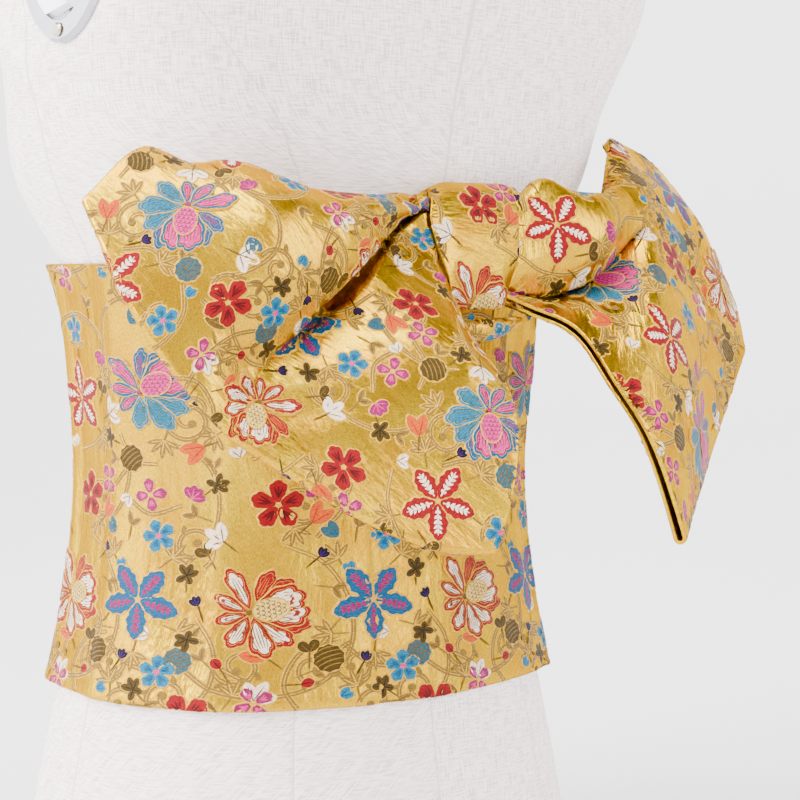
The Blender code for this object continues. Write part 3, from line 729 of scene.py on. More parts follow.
def disc(radius, count=18, waves=0, depth=0.0):
    turn = np.linspace(0, 2 * math.pi, count, endpoint=False)
    reach = radius * (1 + depth * np.cos(waves * turn))
    return np.stack([reach * np.cos(turn), reach * np.sin(turn)], axis=-1)


def turned(points, degrees, shift=(0, 0)):
    """Points turned about (0, 0), then moved."""
    cos, sin = math.cos(math.radians(degrees)), math.sin(math.radians(degrees))
    return np.asarray(points) @ np.array([[cos, sin], [-sin, cos]]) + shift


def inset(outline, by):
    """An outline drawn in towards its middle by a distance; out by a negative one."""
    middle = outline.mean(axis=0)
    away = outline - middle
    reach = np.linalg.norm(away, axis=1, keepdims=True)
    return middle + away * np.maximum(1 - by / np.maximum(reach, 1e-6), 0.05)


class Figure:
    """The flat shapes of one woven figure, in cm about its middle."""

    def __init__(self):
        self.points, self.layers, self.faces, self.colours, self.count = [], [], [], [], 0

    def add(self, points, layers, faces, thread):
        self.points.append(np.asarray(points, float))
        self.layers.append(np.broadcast_to(np.asarray(layers, float), len(points)))
        self.faces += [[self.count + k for k in face] for face in faces]
        self.colours += [thread] * len(faces)
        self.count += len(points)

    def fill(self, outline, thread, layer, sewn=0.0):
        """A filled outline; sewn is how far its raised edge slopes down outside it to the ground."""
        middle, n = outline.mean(axis=0), len(outline)
        shares = (1, 0.5) if np.ptp(outline, axis=0).max() > 0.9 else (1,)
        rings = [middle + (outline - middle) * share for share in shares]
        rings = ([inset(outline, -sewn)] if sewn else []) + rings
        last = len(rings) - 1
        faces = [
            (k * n + i, k * n + (i + 1) % n, (k + 1) * n + (i + 1) % n, (k + 1) * n + i)
            for k in range(last)
            for i in range(n)
        ]
        faces += [(last * n + i, last * n + (i + 1) % n, (last + 1) * n) for i in range(n)]
        layers = np.full((last + 1) * n + 1, float(layer))
        if sewn:
            layers[:n] = SUNK
        self.add(np.concatenate(rings + [middle[None]]), layers, faces, thread)

    def stroke(self, line, width, thread, layer, ends=(1.0, 1.0), sewn=0.0):
        """A line of stitches; sewn is how far its raised edges slope down beside it to the ground."""
        line = np.asarray(line, float)
        ahead = unit(np.gradient(line, axis=0))
        side = np.stack([-ahead[:, 1], ahead[:, 0]], axis=-1)
        share = np.linspace(0, 1, len(line))
        half = width / 2 * np.interp(share, (0, 0.3, 0.7, 1), (ends[0], 1, 1, ends[1]))[:, None]
        offsets = [half, -half]
        if sewn:
            offsets = [half + sewn, half, -half, -half - sewn]
        n, count = len(line), len(offsets)
        faces = [
            (k * n + i, k * n + i + 1, (k + 1) * n + i + 1, (k + 1) * n + i)
            for k in range(count - 1)
            for i in range(n - 1)
        ]
        layers = np.full(count * n, float(layer))
        if sewn:
            layers[:n] = layers[-n:] = SUNK
        self.add(np.concatenate([line + side * offset for offset in offsets]), layers, faces, thread)

    def edged(self, outline, thread, layer, rise=1, margin=0.05, sewn=0.04):
        """A filled outline upon a slightly larger one of the edging thread."""
        self.fill(inset(outline, -margin), "halo", layer, sewn)
        self.fill(outline, thread, layer + rise)

    def vein(self, start, degrees, length, width, thread, layer, bend=0.0):
        t = np.linspace(0, 1, 4)
        line = np.stack([t * length, bend * length * t * t], axis=-1)
        self.stroke(turned(line, degrees, start), width, thread, layer, (0.6, 0.25))

    def build(self, scale=1.0):
        return (
            np.concatenate(self.points) * CM * scale,
            np.concatenate(self.layers),
            self.faces,
            self.colours,
        )


def veined_leaf(figure, at, degrees, length, width, edge, vein, pairs, layer):
    """A leaf with a fern-like vein: a midrib and pairs of drops."""
    outline = turned(leaf(length, width, 0.80, 0.90, waves=12, depth=0.10, count=48), degrees, at)
    figure.edged(outline, edge, layer, sewn=0.045)
    midrib = np.stack([np.linspace(0.10, 0.86, 6) * length, np.zeros(6)], axis=-1)
    figure.stroke(turned(midrib, degrees, at), 0.065, vein, layer + 2, (0.8, 0.4))
    for share in np.linspace(0.20, 0.70, pairs):
        reach = width * 0.95 * share**0.9 * (1 - share) ** 0.80
        foot = turned([(share * length, 0)], degrees, at)[0]
        for side in (-1, 1):
            figure.vein(foot, degrees + side * 40, reach, 0.11, vein, layer + 2, side * 0.12)


def star(edge, vein):
    """A star flower of five pointed leaves."""
    figure = Figure()
    for k in range(5):
        turn = 90 + 72 * k + 3 * math.sin(2.6 * k)
        start = turned([(0.09, 0)], turn)[0]
        length = 1.58 + 0.10 * math.sin(2.3 * k)
        veined_leaf(figure, start, turn, length, 0.86, edge, vein, 5, 0.3 * k)
    figure.fill(disc(0.13, 10), "halo", 5)
    return figure.build()


# The peony's petals from back to front; the hindmost ones are woven in the edge's thread alone.
Petal = namedtuple("Petal", "turn along up length width lobes bend behind")
PETALS = rows_of(
    Petal,
    (52, 0.35, 0.45, 1.45, 0.72, 3, -0.20, True),
    (74, 0.05, 0.50, 1.45, 0.62, 3, -0.15, True),
    (-24, 0.30, -0.25, 1.95, 0.85, 3, 0.22, True),
    (-46, 0.15, -0.40, 1.70, 0.80, 3, 0.12, False),
    (-4, 0.10, -0.10, 2.05, 1.15, 4, 0.10, False),
    (24, 0.00, 0.15, 2.05, 1.20, 4, -0.12, False),
    (-78, -0.05, -0.25, 1.85, 0.92, 3, 0.10, False),
    (-114, -0.25, -0.20, 1.50, 0.82, 3, -0.05, False),
    (188, -0.30, -0.12, 1.20, 0.58, 2, 0.10, False),
    (158, -0.30, 0.05, 1.40, 0.60, 2, -0.10, False),
    (112, -0.20, 0.15, 1.95, 0.74, 3, 0.08, False),
)
PETAL_LAYERS = 1.9
LOWER_PETALS = (3, 6, 7)  # those that a two-coloured peony has in its second colour
HEART = (8, (-0.05, 0.02))  # its turn and place


def peony(edge, line, inner, stripe, dome, scale, lower=None):
    """A peony seen half from the side: edged, scalloped petals round a scaly heart to one side."""
    figure = Figure()
    for k, row in enumerate(PETALS):
        layer, at = k * PETAL_LAYERS, (row.along, row.up)
        shape = petal(row.length, row.width, row.lobes)
        shape[:, 1] += row.bend * shape[:, 0] ** 2 / row.length
        outline = turned(shape, row.turn, at)
        tints = ("sky", lower, "sky", lower) if lower and k in LOWER_PETALS else (edge, line, inner, stripe)
        tints = (edge, edge, edge, line if line != edge else "peach") if row.behind else tints
        figure.edged(outline, tints[0], layer, 0.4, sewn=0.045)
        for by, tint, rise in ((0.13, "halo", 0.8), (0.15, tints[1], 1.2), (0.23, tints[2], 1.5)):
            figure.fill(inset(outline, by), tint, layer + rise)
        for offset in (-0.5, -0.25, 0, 0.25, 0.5) if row.width > 0.8 else (-0.3, 0, 0.3):
            t = np.linspace(0.20, 0.80, 5)
            spread = offset * row.width * 0.55 * np.sin(math.pi * np.minimum(t * 1.02, 1)) ** 0.6
            stitches = np.stack([t * row.length, spread + row.bend * t**2 * row.length], axis=-1)
            figure.stroke(turned(stitches, row.turn, at), 0.045, tints[3], layer + 1.9, (0.4, 0.4))
    top = len(PETALS) * PETAL_LAYERS
    figure.edged(turned(leaf(1.42, 0.98, 0.5, 0.5, count=24), *HEART), dome, top, margin=0.06, sewn=0)
    for row in range(6):
        for k in range(-3, 4):
            x, y = 0.16 + row * 0.21, k * 0.20 + row % 2 * 0.10
            if (x - 0.64) ** 2 / 0.36 + y**2 / 0.19 > 1:
                continue
            turn = np.linspace(-2.2, 2.2, 5)
            arc = np.stack([x + 0.09 * np.cos(turn), y + 0.09 * np.sin(turn)], axis=-1)
            figure.stroke(turned(arc, *HEART), 0.04, scale, top + 2)
    figure.fill(disc(0.12, 10) + (-0.22, -0.02), stripe, top + 2)
    return figure.build(0.90)


def round_flower(petals, reach, width, edge, inner, middle):
    """A small flower of round petals."""
    figure = Figure()
    for k in range(petals):
        turn = 90 + 360 * k / petals
        start = turned([(0.05, 0)], turn)[0]
        outline = turned(petal(reach, width, 3, 0.10, 26), turn, start)
        figure.edged(outline, edge, 0.3 * k, margin=0.04)
        for side in (-20, 0, 20):
            figure.vein(turned([(reach * 0.30, 0)], turn)[0], turn + side, reach * 0.52, 0.07, inner, 3)
    figure.fill(disc(0.12, 10), middle, 4)
    return figure.build()


def spray(turns, length, width, thread, vein, point=0.7, stem=None):
    """A few petals that open from one foot, such as a bud or a tuft of leaves."""
    figure = Figure()
    for turn in turns:
        size = length * (1 - 0.10 * abs(turn - 90) / 60)
        outline = turned(leaf(size, width, point, 0.7, count=16), turn)
        figure.edged(outline, thread, 0, margin=0.03)
        figure.vein((0, 0), turn, size * 0.8, 0.05, vein, 2)
    if stem:
        line = np.stack([np.linspace(0, -0.12, 6), np.linspace(0, -0.7, 6)], axis=-1)
        figure.stroke(line, 0.07, stem, 1, (1, 0.3))
    return figure.build()


def ball(radius, thread, line):
    """A round seed head crossed by arcs."""
    figure = Figure()
    figure.fill(disc(radius + 0.04, 20), "halo", 0, 0.045)
    figure.fill(disc(radius, 20, 10, 0.05), thread, 1)
    for k in range(-2, 3):
        x = np.linspace(-1, 1, 9)
        reach = math.sqrt(max(1 - (k / 3) ** 2, 0)) * radius * 0.9
        bow = 0.14 * radius * (1 - x**2)
        figure.stroke(np.stack([x * reach, k / 3 * radius + bow], axis=-1), 0.05, line, 2, (0.4, 0.4))
    return figure.build()


VINE_WIDTH = 0.23


def double_line(figure, line, width=VINE_WIDTH):
    """Two matte threads side by side, edged and parted by a paler one."""
    ahead = unit(np.gradient(line, axis=0))
    side = np.stack([-ahead[:, 1], ahead[:, 0]], axis=-1)
    figure.stroke(line, width * 0.84, "halo", 0, (1, 0.5), 0.05)
    for way in (-1, 1):
        figure.stroke(line + side * way * width * 0.25, width * 0.34, "pale", 1, (1, 0.5))


def scroll(radius, laps, hand=1):
    """A double-lined tendril that rolls up into a bud, with two small leaves on its back."""
    figure = Figure()
    share = np.linspace(0, 1, 33)
    turn = share * laps * 2 * math.pi
    reach = radius * (1 - 0.76 * share**0.9)
    line = np.stack([reach * np.cos(turn), hand * reach * np.sin(turn)], axis=-1)
    double_line(figure, line)
    figure.fill(disc(0.17, 12) + line[-1], "pale", 2)
    for k, lean in ((6, 25), (13, 40)):
        away = math.degrees(math.atan2(line[k, 1], line[k, 0]))
        figure.fill(turned(leaf(0.42, 0.20, count=14), away - hand * lean, line[k]), "pale", 2)
    return figure.build()


def vine(points):
    """A double-lined stem through points in cm."""
    figure = Figure()
    points = np.asarray(points, float)
    steps = np.arange(len(points))
    double_line(figure, curve_through(steps, points, np.linspace(0, steps[-1], 6 * steps[-1] + 1)))
    return figure.build()


def build_figures():
    figures = {
        "star_red": star("red", "white"),
        "star_blue": star("blue", "magenta"),
        "peony_red": peony("red", "red", "white", "tan", "cream", "tan"),
        "peony_blue": peony("blue", "magenta", "pink", "magenta", "pink", "magenta", "grey_blue"),
        "lobes_red": round_flower(5, 0.95, 0.66, "red", "deep_red", "halo"),
        "small_magenta": round_flower(4, 0.62, 0.42, "magenta", "pink", "halo"),
        "small_blue": round_flower(5, 0.62, 0.46, "sky", "blue", "pink"),
        "bud_white": spray((40, 90, 140), 0.86, 0.42, "white", "tan", 0.6, "tan"),
        "bud_small": spray((60, 120), 0.54, 0.32, "white", "pale", 0.6),
        "fan_magenta": spray((35, 72, 108, 145), 0.60, 0.34, "magenta", "pink", 0.5),
        "tuft_olive": spray((15, 60, 110, 200, 290), 0.58, 0.30, "olive", "deep_olive", 0.6, "tan"),
        "pair_olive": spray((50, 125), 0.60, 0.40, "olive", "tan", 0.5, "tan"),
        "cup_navy": spray((60, 90, 120), 0.44, 0.22, "navy", "violet", 0.6, "olive"),
        "drop_blue": spray((70, 110), 0.50, 0.32, "sky", "blue", 0.7),
        "drop_red": spray((90,), 0.50, 0.40, "red", "deep_red", 0.7, "tan"),
        "leaf_peach": spray((70, 110), 1.05, 0.50, "peach", "orange", 0.7, "tan"),
        "leaf_tan": spray((90,), 1.15, 0.46, "tan", "pale", 0.8),
        "leaf_grey": spray((75, 110), 0.78, 0.40, "grey_blue", "blue", 0.6),
        "sprig_gold": spray((18, 52, 90, 128, 162), 0.80, 0.22, "pale", "halo", 0.7, "pale"),
        "curl_gold": spray((30, 100), 0.62, 0.26, "pale", "tan", 0.9, "pale"),
        "ball_olive": ball(0.56, "olive", "pale"),
        "ball_grey": ball(0.54, "grey_blue", "tan"),
        "scroll_left": scroll(0.95, 1.30, 1),
        "scroll_right": scroll(0.85, 1.25, -1),
    }
    for k, points in enumerate(VINES):
        figures[f"vine_{k}"] = vine(points)
    return figures


# One repeat of the brocade: figure, its place in cm along and up the cloth, its turn in degrees.
REPEAT = (9.0, 17.6)
Motif = namedtuple("Motif", "figure along up turn")
BLOOMS = rows_of(
    Motif,
    ("peony_red", 4.5, 0.0, 0), ("star_blue", 0.0, 0.3, 180), ("star_red", 4.7, 8.6, 8),
    ("peony_blue", 0.2, 9.1, 20), ("lobes_red", 5.3, 4.4, 0), ("lobes_red", 2.3, 13.2, 30),
)
FILLERS = rows_of(
    Motif,
    ("tuft_olive", 1.9, 1.4, 10), ("tuft_olive", 2.1, -1.2, 150), ("pair_olive", 2.7, 2.3, 40),
    ("cup_navy", 2.4, 0.2, 30), ("cup_navy", 6.9, 2.2, -40), ("ball_olive", 7.2, -2.0, 20),
    ("small_blue", 1.1, -2.6, 0), ("small_blue", 0.7, 3.0, 20), ("bud_white", 4.6, -3.6, -30),
    ("bud_white", 3.3, 2.9, 60), ("drop_red", 6.2, -3.0, -80), ("drop_blue", 8.1, 1.5, 20),
    ("drop_blue", 7.6, -3.6, -60), ("leaf_grey", 7.6, 3.0, 40), ("leaf_peach", 6.6, 3.6, -40),
    ("leaf_peach", 2.5, 6.8, 120), ("leaf_tan", 3.0, -3.6, 200), ("small_magenta", 0.3, 4.7, 10),
    ("small_magenta", 6.9, 5.2, 45), ("fan_magenta", 2.0, 4.6, -30), ("fan_magenta", 6.8, 10.6, 160),
    ("tuft_olive", 3.0, 5.2, -40), ("tuft_olive", 7.2, 7.0, 80), ("ball_grey", 2.3, 10.9, 0),
    ("ball_olive", 8.4, 6.2, 40), ("pair_olive", 6.6, 8.9, -20), ("cup_navy", 2.5, 8.6, 60),
    ("bud_white", 7.2, 8.0, -60), ("bud_small", 3.9, 6.4, 20), ("bud_small", 8.3, 4.6, 140),
    ("drop_blue", 3.2, 11.7, 100), ("small_blue", 4.6, 11.6, 0), ("leaf_grey", 8.8, 11.9, -30),
    ("bud_white", 0.6, 12.1, 20), ("tuft_olive", 0.3, 14.2, 60), ("small_magenta", 4.6, 13.9, 30),
    ("leaf_peach", 5.0, 15.7, 60), ("ball_grey", 1.8, 15.5, 30), ("drop_red", 3.4, 15.3, 40),
    ("cup_navy", 8.5, 15.4, -20), ("pair_olive", 6.5, 15.9, 10), ("bud_small", 0.6, 16.5, 80),
)
VINES = [
    ((2.0, -2.4), (3.2, -3.2), (5.0, -3.5), (6.9, -3.0), (8.0, -1.6), (8.0, 0.3), (7.1, 1.9), (5.6, 2.7)),
    ((2.9, 11.2), (3.9, 12.1), (5.4, 12.2), (6.7, 11.3), (7.1, 9.7), (6.9, 7.9), (5.8, 6.7), (4.3, 6.3)),
    ((1.9, 1.9), (2.9, 3.2), (3.1, 4.8), (2.5, 6.2), (1.2, 6.9)),
    ((6.8, 3.0), (7.9, 4.3), (8.3, 5.9), (7.9, 7.2)),
    ((-1.9, 10.4), (-1.8, 12.0), (-0.6, 13.0), (0.9, 12.8), (2.0, 11.9)),
    ((2.0, 13.2), (3.0, 14.4), (3.1, 16.0), (2.4, 17.2)),
    ((6.2, 13.4), (5.6, 14.6), (6.2, 15.9), (7.6, 16.4)),
    ((8.1, 4.6), (9.3, 3.9), (10.6, 4.3)),
    ((5.0, -3.6), (4.4, -2.9), (3.2, -2.2)),
    ((3.2, 8.2), (2.5, 9.2), (2.9, 10.6)),
    ((0.9, 15.0), (-0.3, 15.3), (-1.3, 16.2)),
    ((-1.5, 5.0), (-0.6, 5.9), (0.6, 6.0)),
]
SCROLLS = rows_of(
    Motif,
    ("scroll_left", 8.2, -2.3, 100), ("scroll_right", 1.6, -3.6, 250), ("scroll_left", 2.1, 2.6, 300),
    ("scroll_right", 6.2, 4.2, 120), ("scroll_left", 1.9, 7.9, 200), ("scroll_right", 8.0, 9.6, 20),
    ("scroll_left", 2.0, 12.6, 340), ("scroll_right", 6.6, 15.2, 60), ("scroll_left", 4.0, 15.4, 150),
    ("scroll_right", 8.9, 13.6, 280),
)
SPRIGS = [
    Motif("sprig_gold", *place)
    for place in (
        (1.3, 2.1, -40), (-1.4, 2.1, 40), (1.7, -0.9, -100), (-1.7, -1.0, 100), (0.0, -1.9, 180),
        (6.3, 7.0, -130), (3.0, 7.3, 130), (6.7, 9.6, -60), (2.8, 9.8, 60), (4.7, 10.8, 0),
        (5.9, 3.4, -150), (8.2, 14.4, 20), (3.9, 14.2, -20), (0.9, 7.0, 170),
    )
] + [
    Motif("curl_gold", *place)
    for place in (
        (2.7, -2.0, 60), (6.6, -2.5, -60), (7.4, 0.9, -90), (2.2, 3.9, 80), (8.4, 3.4, 0),
        (2.9, 5.9, 30), (7.6, 6.1, 100), (8.0, 8.4, -30), (2.1, 10.4, 120), (6.0, 12.6, 10),
        (0.8, 13.6, -80), (4.4, 16.6, 40), (7.3, 16.8, 150), (2.2, 16.4, -40),
    )
]
STEMS = SPRIGS + [Motif(f"vine_{k}", 0, 0, 0) for k in range(len(VINES))] + SCROLLS
# The two meshes of figures, and the layer that each group of motifs starts at.
KINDS = ("vines", ((0, STEMS), (2, FILLERS))), ("flowers", ((4, BLOOMS),))
PATTERN_SCALE = 1.04
CLOTH_MARGIN = 9 * CM  # how far outside a cloth's box a figure's place may be
# Where the repeat starts on each flat cloth, in cm, its turn, whether it is mirrored, and its scale.
Pattern = namedtuple("Pattern", "origin turn hand scale", defaults=(1, PATTERN_SCALE))
LEFT_PATTERN = Pattern((13.62, 15.98), -10.9, -1, 0.93)
RIGHT_PATTERN = Pattern((-6.31, -0.62), -46.2)
WRAP_PATTERN = Pattern((0.19, -5.32), 90, -1)
PLEAT_PATTERN = Pattern((0.5, 2.0), 20)
BAND_PATTERN = (2.4, 4.15)


SAG = 0.15 * MM  # a triangle with an edge that would leave the cloth by more is split


def follow_folds(face, points, heights, triangles, shades):
    """Lifts figures onto the cloth, split finer where it bends; gives points, places, triangles, shades."""
    on_cloth, places, normals = face.lift(points, heights)
    whole = on_cloth[triangles].all(axis=1)
    triangles, shades = triangles[whole], shades[whole]
    split = np.zeros(len(triangles), bool)
    for one, other in ((0, 1), (1, 2), (2, 0)):
        a, b = triangles[:, one], triangles[:, other]
        bend = np.linalg.norm(normals[a] - normals[b], axis=1)
        split |= np.linalg.norm(places[a] - places[b], axis=1) * bend / 8 > SAG
    a, b, c = triangles[split].T
    edges = np.concatenate([np.column_stack(ends) for ends in ((a, b), (b, c), (c, a))])
    pairs, index = np.unique(np.sort(edges, axis=1), axis=0, return_inverse=True)
    more, more_heights = points[pairs].mean(axis=1), heights[pairs].mean(axis=1)
    more_on_cloth, more_places, _ = face.lift(more, more_heights)
    ab, bc, ca = len(points) + index.reshape(3, -1)
    finer = [np.column_stack(corners) for corners in ((a, ab, ca), (ab, b, bc), (ca, bc, c), (ab, bc, ca))]
    triangles = np.concatenate([triangles[~split]] + finer)
    shades = np.concatenate([shades[~split], np.tile(shades[split], (4, 1))])
    whole = np.concatenate([on_cloth, more_on_cloth])[triangles].all(axis=1)
    points, places = np.concatenate([points, more]), np.concatenate([places, more_places])
    return points, places, triangles[whole], shades[whole]


def woven_mesh(name, points, places, triangles, shades):
    """The object for lifted figures, with their cloth coordinates and the colour of each triangle."""
    used, index = np.unique(triangles, return_inverse=True)
    obj = mesh_object(name, places[used], index.reshape(-1, 3))
    set_uv(obj, "cloth", points[used])
    layer = obj.data.color_attributes.new("thread", "FLOAT_COLOR", "CORNER")
    rgba = np.column_stack([np.repeat(shades, 3, axis=0), np.ones(3 * len(shades))])
    layer.data.foreach_set("color", rgba.astype(np.float32).ravel())
    return obj


def weave(name, face, figures, origin, turn, hand=1, lap=None, scale=PATTERN_SCALE):
    """Lays the repeat all over a cloth's face and lifts it onto the draped cloth, as two meshes.

    The repeat starts at the origin, in cm on the flat cloth. A hand of -1 suits a face whose flat
    layout is seen from behind; a lap is how far round a closed cloth goes before it meets its start."""
    origin = np.array(origin) * CM
    low, high = face.flat.min(axis=0) - CLOTH_MARGIN, face.flat.max(axis=0) + CLOTH_MARGIN
    corners = np.array([(u, v) for u in (low[0], high[0]) for v in (low[1], high[1])])
    size = np.array(REPEAT) * CM * scale
    inside = turned(corners - origin, -turn) * (1, hand) / size
    first, last = np.floor(inside.min(axis=0)).astype(int) - 1, np.ceil(inside.max(axis=0)).astype(int) + 2
    cells = [(column, row) for column in range(first[0], last[0]) for row in range(first[1], last[1])]
    pieces = []
    for kind, groups in KINDS:
        points, heights, faces, colours, count = [], [], [], [], 0
        for base, motif in ((base, motif) for base, group in groups for motif in group):
            shape, layers, shape_faces, shape_colours = figures[motif.figure]
            shape = turned(shape, motif.turn, np.array((motif.along, motif.up)) * CM) * scale
            for cell in cells:
                place = turned((shape + cell * size) * (1, hand), turn, origin)
                outside = (place.max(axis=0) < low + CLOTH_MARGIN) | (place.min(axis=0) > high - CLOTH_MARGIN)
                if np.any(outside) or lap and not 0 <= place.mean(axis=0)[0] < lap:
                    continue
                points.append(place)
                lifts = GROUND_LIFT + (layers + base) * LAYER_LIFT
                heights.append(np.maximum(lifts, SEWN_DOWN * GROUND_LIFT))
                faces += [[count + k for k in f] for f in shape_faces]
                colours += shape_colours
                count += len(shape)
        triangles = np.array([(f[0], f[k], f[k + 1]) for f in faces for k in range(1, len(f) - 1)])
        shades = np.array([THREADS[c] for f, c in zip(faces, colours) for _ in range(len(f) - 2)])
        mesh = follow_folds(face, np.concatenate(points), np.concatenate(heights), triangles, shades)
        pieces.append(woven_mesh(f"{name}_{kind}", *mesh))
    return pieces


# ---------------------------------------------------------------- materials


class Nodes:
    """Short calls to build a material's node tree."""

    def __init__(self, name, **inputs):
        self.material = bpy.data.materials.new(name)
        self.material.use_nodes = True
        self.tree = self.material.node_tree
        self.shader = self.tree.nodes["Principled BSDF"]
        for key, value in inputs.items():
            self.shader.inputs[key.replace("_", " ")].default_value = value

    def put(self, value, socket):
        """A value for a socket: another node's output, a number or a colour."""
        if isinstance(value, bpy.types.NodeSocket):
            self.tree.links.new(value, socket)
        else:
            socket.default_value = value

    def look(self, value, name):
        self.put(value, self.shader.inputs[name])

    def add(self, kind, inputs=None, **settings):
        node = self.tree.nodes.new("ShaderNode" + kind)
        for key, value in settings.items():
            setattr(node, key, value)
        for key, value in (inputs or {}).items():
            self.put(value, node.inputs[key])
        return node

    def math(self, operation, first, second=0.0):
        return self.add("Math", {0: first, 1: second}, operation=operation).outputs[0]

    def ranged(self, value, low, high, ends=("To Min", "To Max")):
        return self.add("MapRange", {"Value": value, ends[0]: low, ends[1]: high}).outputs[0]

    def noise(self, scale, detail=2.0, roughness=0.5, uv=True):
        """Noise by the cloth's flat coordinates, or else by the place, with so many waves a metre."""
        source = self.add("UVMap", uv_map="cloth") if uv else self.add("TexCoord")
        place = source.outputs["UV" if uv else "Object"]
        place = self.add("Mapping", {"Vector": place, "Scale": scale}).outputs["Vector"]
        inputs = {"Vector": place, "Scale": 1.0, "Detail": detail, "Roughness": roughness}
        return self.add("TexNoise", inputs).outputs["Fac"]

    def ramp(self, value, *stops):
        node = self.add("ValToRGB", {"Fac": value})
        ramp = node.color_ramp
        while len(ramp.elements) < len(stops):
            ramp.elements.new(0.5)
        for element, (position, colour) in zip(ramp.elements, stops):
            element.position = position
            element.color = (*colour, 1)
        return node.outputs["Color"]

    def mix(self, share, first, second, blend="MIX"):
        """Two colours mixed: sockets 0, 6 and 7 of the colour mix node are its share and colours."""
        node = self.add("Mix", data_type="RGBA", blend_type=blend)
        for socket, value in zip((0, 6, 7), (share, first, second)):
            self.put((*value, 1) if isinstance(value, np.ndarray) else value, node.inputs[socket])
        return node.outputs[2]

    def bump(self, *layers):
        """Bumps laid over each other: (height, distance in metres, strength)."""
        normal = None
        for height, distance, strength in layers:
            inputs = {"Height": height, "Distance": distance, "Strength": strength}
            if normal is not None:
                inputs["Normal"] = normal
            normal = self.add("Bump", inputs).outputs["Normal"]
        self.look(normal, "Normal")


def brocade_look():
    """The gold satin ground: fine uneven wefts, with warmer and paler streaks of thread."""
    n = Nodes("brocade", Metallic=1.0, Anisotropic=0.45, Specular_Tint=(1.0, 0.70, 0.18, 1))
    wefts, warps, patches = (n.noise(scale) for scale in ((3600, 800, 1), (900, 2600, 1), (38, 38, 1)))
    gold = n.ramp(wefts, (0.34, srgb(158, 114, 0)), (0.5, srgb(186, 147, 0)), (0.66, srgb(210, 181, 8)))
    warm = n.mix(n.ramp(patches, (0.35, (0, 0, 0)), (0.70, (1, 1, 1))), gold, srgb(176, 106, 0))
    n.look(n.mix(0.5, warm, gold), "Base Color")
    n.look(n.ranged(wefts, 0.25, 0.35), "Roughness")
    crinkles = n.noise((170, 46, 1), 3.0, 0.6)
    n.bump((wefts, 0.00006, 0.30), (warps, 0.00004, 0.30), (crinkles, 0.0015, 0.75))
    return n.material


def thread_look():
    """Coloured figure threads: short raised stitches over the ground."""
    n = Nodes("figure_threads", Metallic=0.10, Specular_IOR_Level=0.12)
    colour = n.add("Attribute", attribute_name="thread").outputs["Color"]
    stitches = n.noise((650, 2100, 1), 2.0, 0.6)
    shade = n.ramp(stitches, (0.30, (0.42, 0.42, 0.42)), (0.5, (0.95, 0.95, 0.95)), (0.70, (1.5, 1.5, 1.5)))
    n.look(n.mix(0.8, colour, shade, "MULTIPLY"), "Base Color")
    n.look(n.ranged(stitches, 0.45, 0.65), "Roughness")
    n.bump((stitches, 0.0004, 0.8))
    return n.material


LINEN = (0.42, srgb(206, 186, 180)), (0.50, srgb(244, 228, 224)), (0.58, srgb(255, 246, 243))


def linen_weave(n, slubs, warps):
    """The linen's colour from its slubs both ways, and the bumps they make."""
    colour = n.ramp(n.math("MULTIPLY", n.math("ADD", slubs, warps), 0.5), *LINEN)
    return colour, ((slubs, 0.00022, 0.5), (warps, 0.00018, 0.5))


def linen_look():
    """Plain-woven linen with slubs both ways, pinkish off-white; seams are fine dark lines."""
    n = Nodes("linen", Sheen_Weight=0.15, Roughness=0.9)
    cloth, bumps = linen_weave(n, n.noise((130, 1500, 1), 2.0, 0.6), n.noise((1500, 110, 1), 2.0, 0.6))
    phase = n.add("SeparateXYZ", {"Vector": n.add("UVMap", uv_map="seams").outputs["UV"]}).outputs
    off = n.math("ABSOLUTE", n.math("SUBTRACT", n.math("FRACT", n.math("ADD", phase["X"], 0.5)), 0.5))
    seam = n.math("MULTIPLY", off, phase["Y"])
    ends = ("From Min", "From Max")
    line, dip = n.ranged(seam, 0.1 * MM, 0.6 * MM, ends), n.ranged(seam, 0.0, 1.6 * MM, ends)
    n.look(n.mix(line, srgb(206, 196, 191), cloth), "Base Color")
    n.bump(*bumps, (dip, 0.0006, 0.7))
    return n.material


def cap_look():
    """The linen stretched over the neck cap, by its place on the form."""
    n = Nodes("cap_linen", Sheen_Weight=0.15, Roughness=0.9)
    slubs, warps = (n.noise(scale, 3.0, 0.65, uv=False) for scale in ((110, 1500, 110), (1500, 90, 110)))
    cloth, bumps = linen_weave(n, slubs, warps)
    n.look(cloth, "Base Color")
    n.bump(*bumps)
    return n.material


def chrome_look(name="chrome", colour=(0.40, 0.40, 0.43), rough=(0.08, 0.20)):
    """Polished metal with faint rolling marks."""
    n = Nodes(name, Metallic=1.0, Base_Color=(*colour, 1))
    marks = n.noise((90, 90, 700), 3.0, uv=False)
    n.look(n.ranged(marks, *rough), "Roughness")
    n.bump((marks, 0.00004, 0.3))
    return n.material


# ---------------------------------------------------------------- pieces

WING_ALONG = 64
WING_ACROSS = 110
FOLD_STEPS = 10  # round the outer fold
OPEN_BY = 0.4  # the share of a wing's length in which its layers part
REAR_EDGE, REAR_SHUT = 90, 106  # columns between which the layers close towards their rear edge
REAR_CLOSING = 0.85  # of the gap between them
BAND_AROUND = 288
BAND_ROWS = 56
BAND_REPEATS = 6
BAND_LAP = 26  # rows that its face goes on for past its ends, for figures that lie across them
BAND_EDGE_STEP = 0.4 * MM  # between the points round its folded edges


def finish_piece(obj, look, nodes=()):
    """Dresses a piece, rides it on the body and hides the CAD nodes it stands for."""
    obj.data.materials.append(look)
    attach(obj, "root")
    if nodes:
        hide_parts(*nodes)


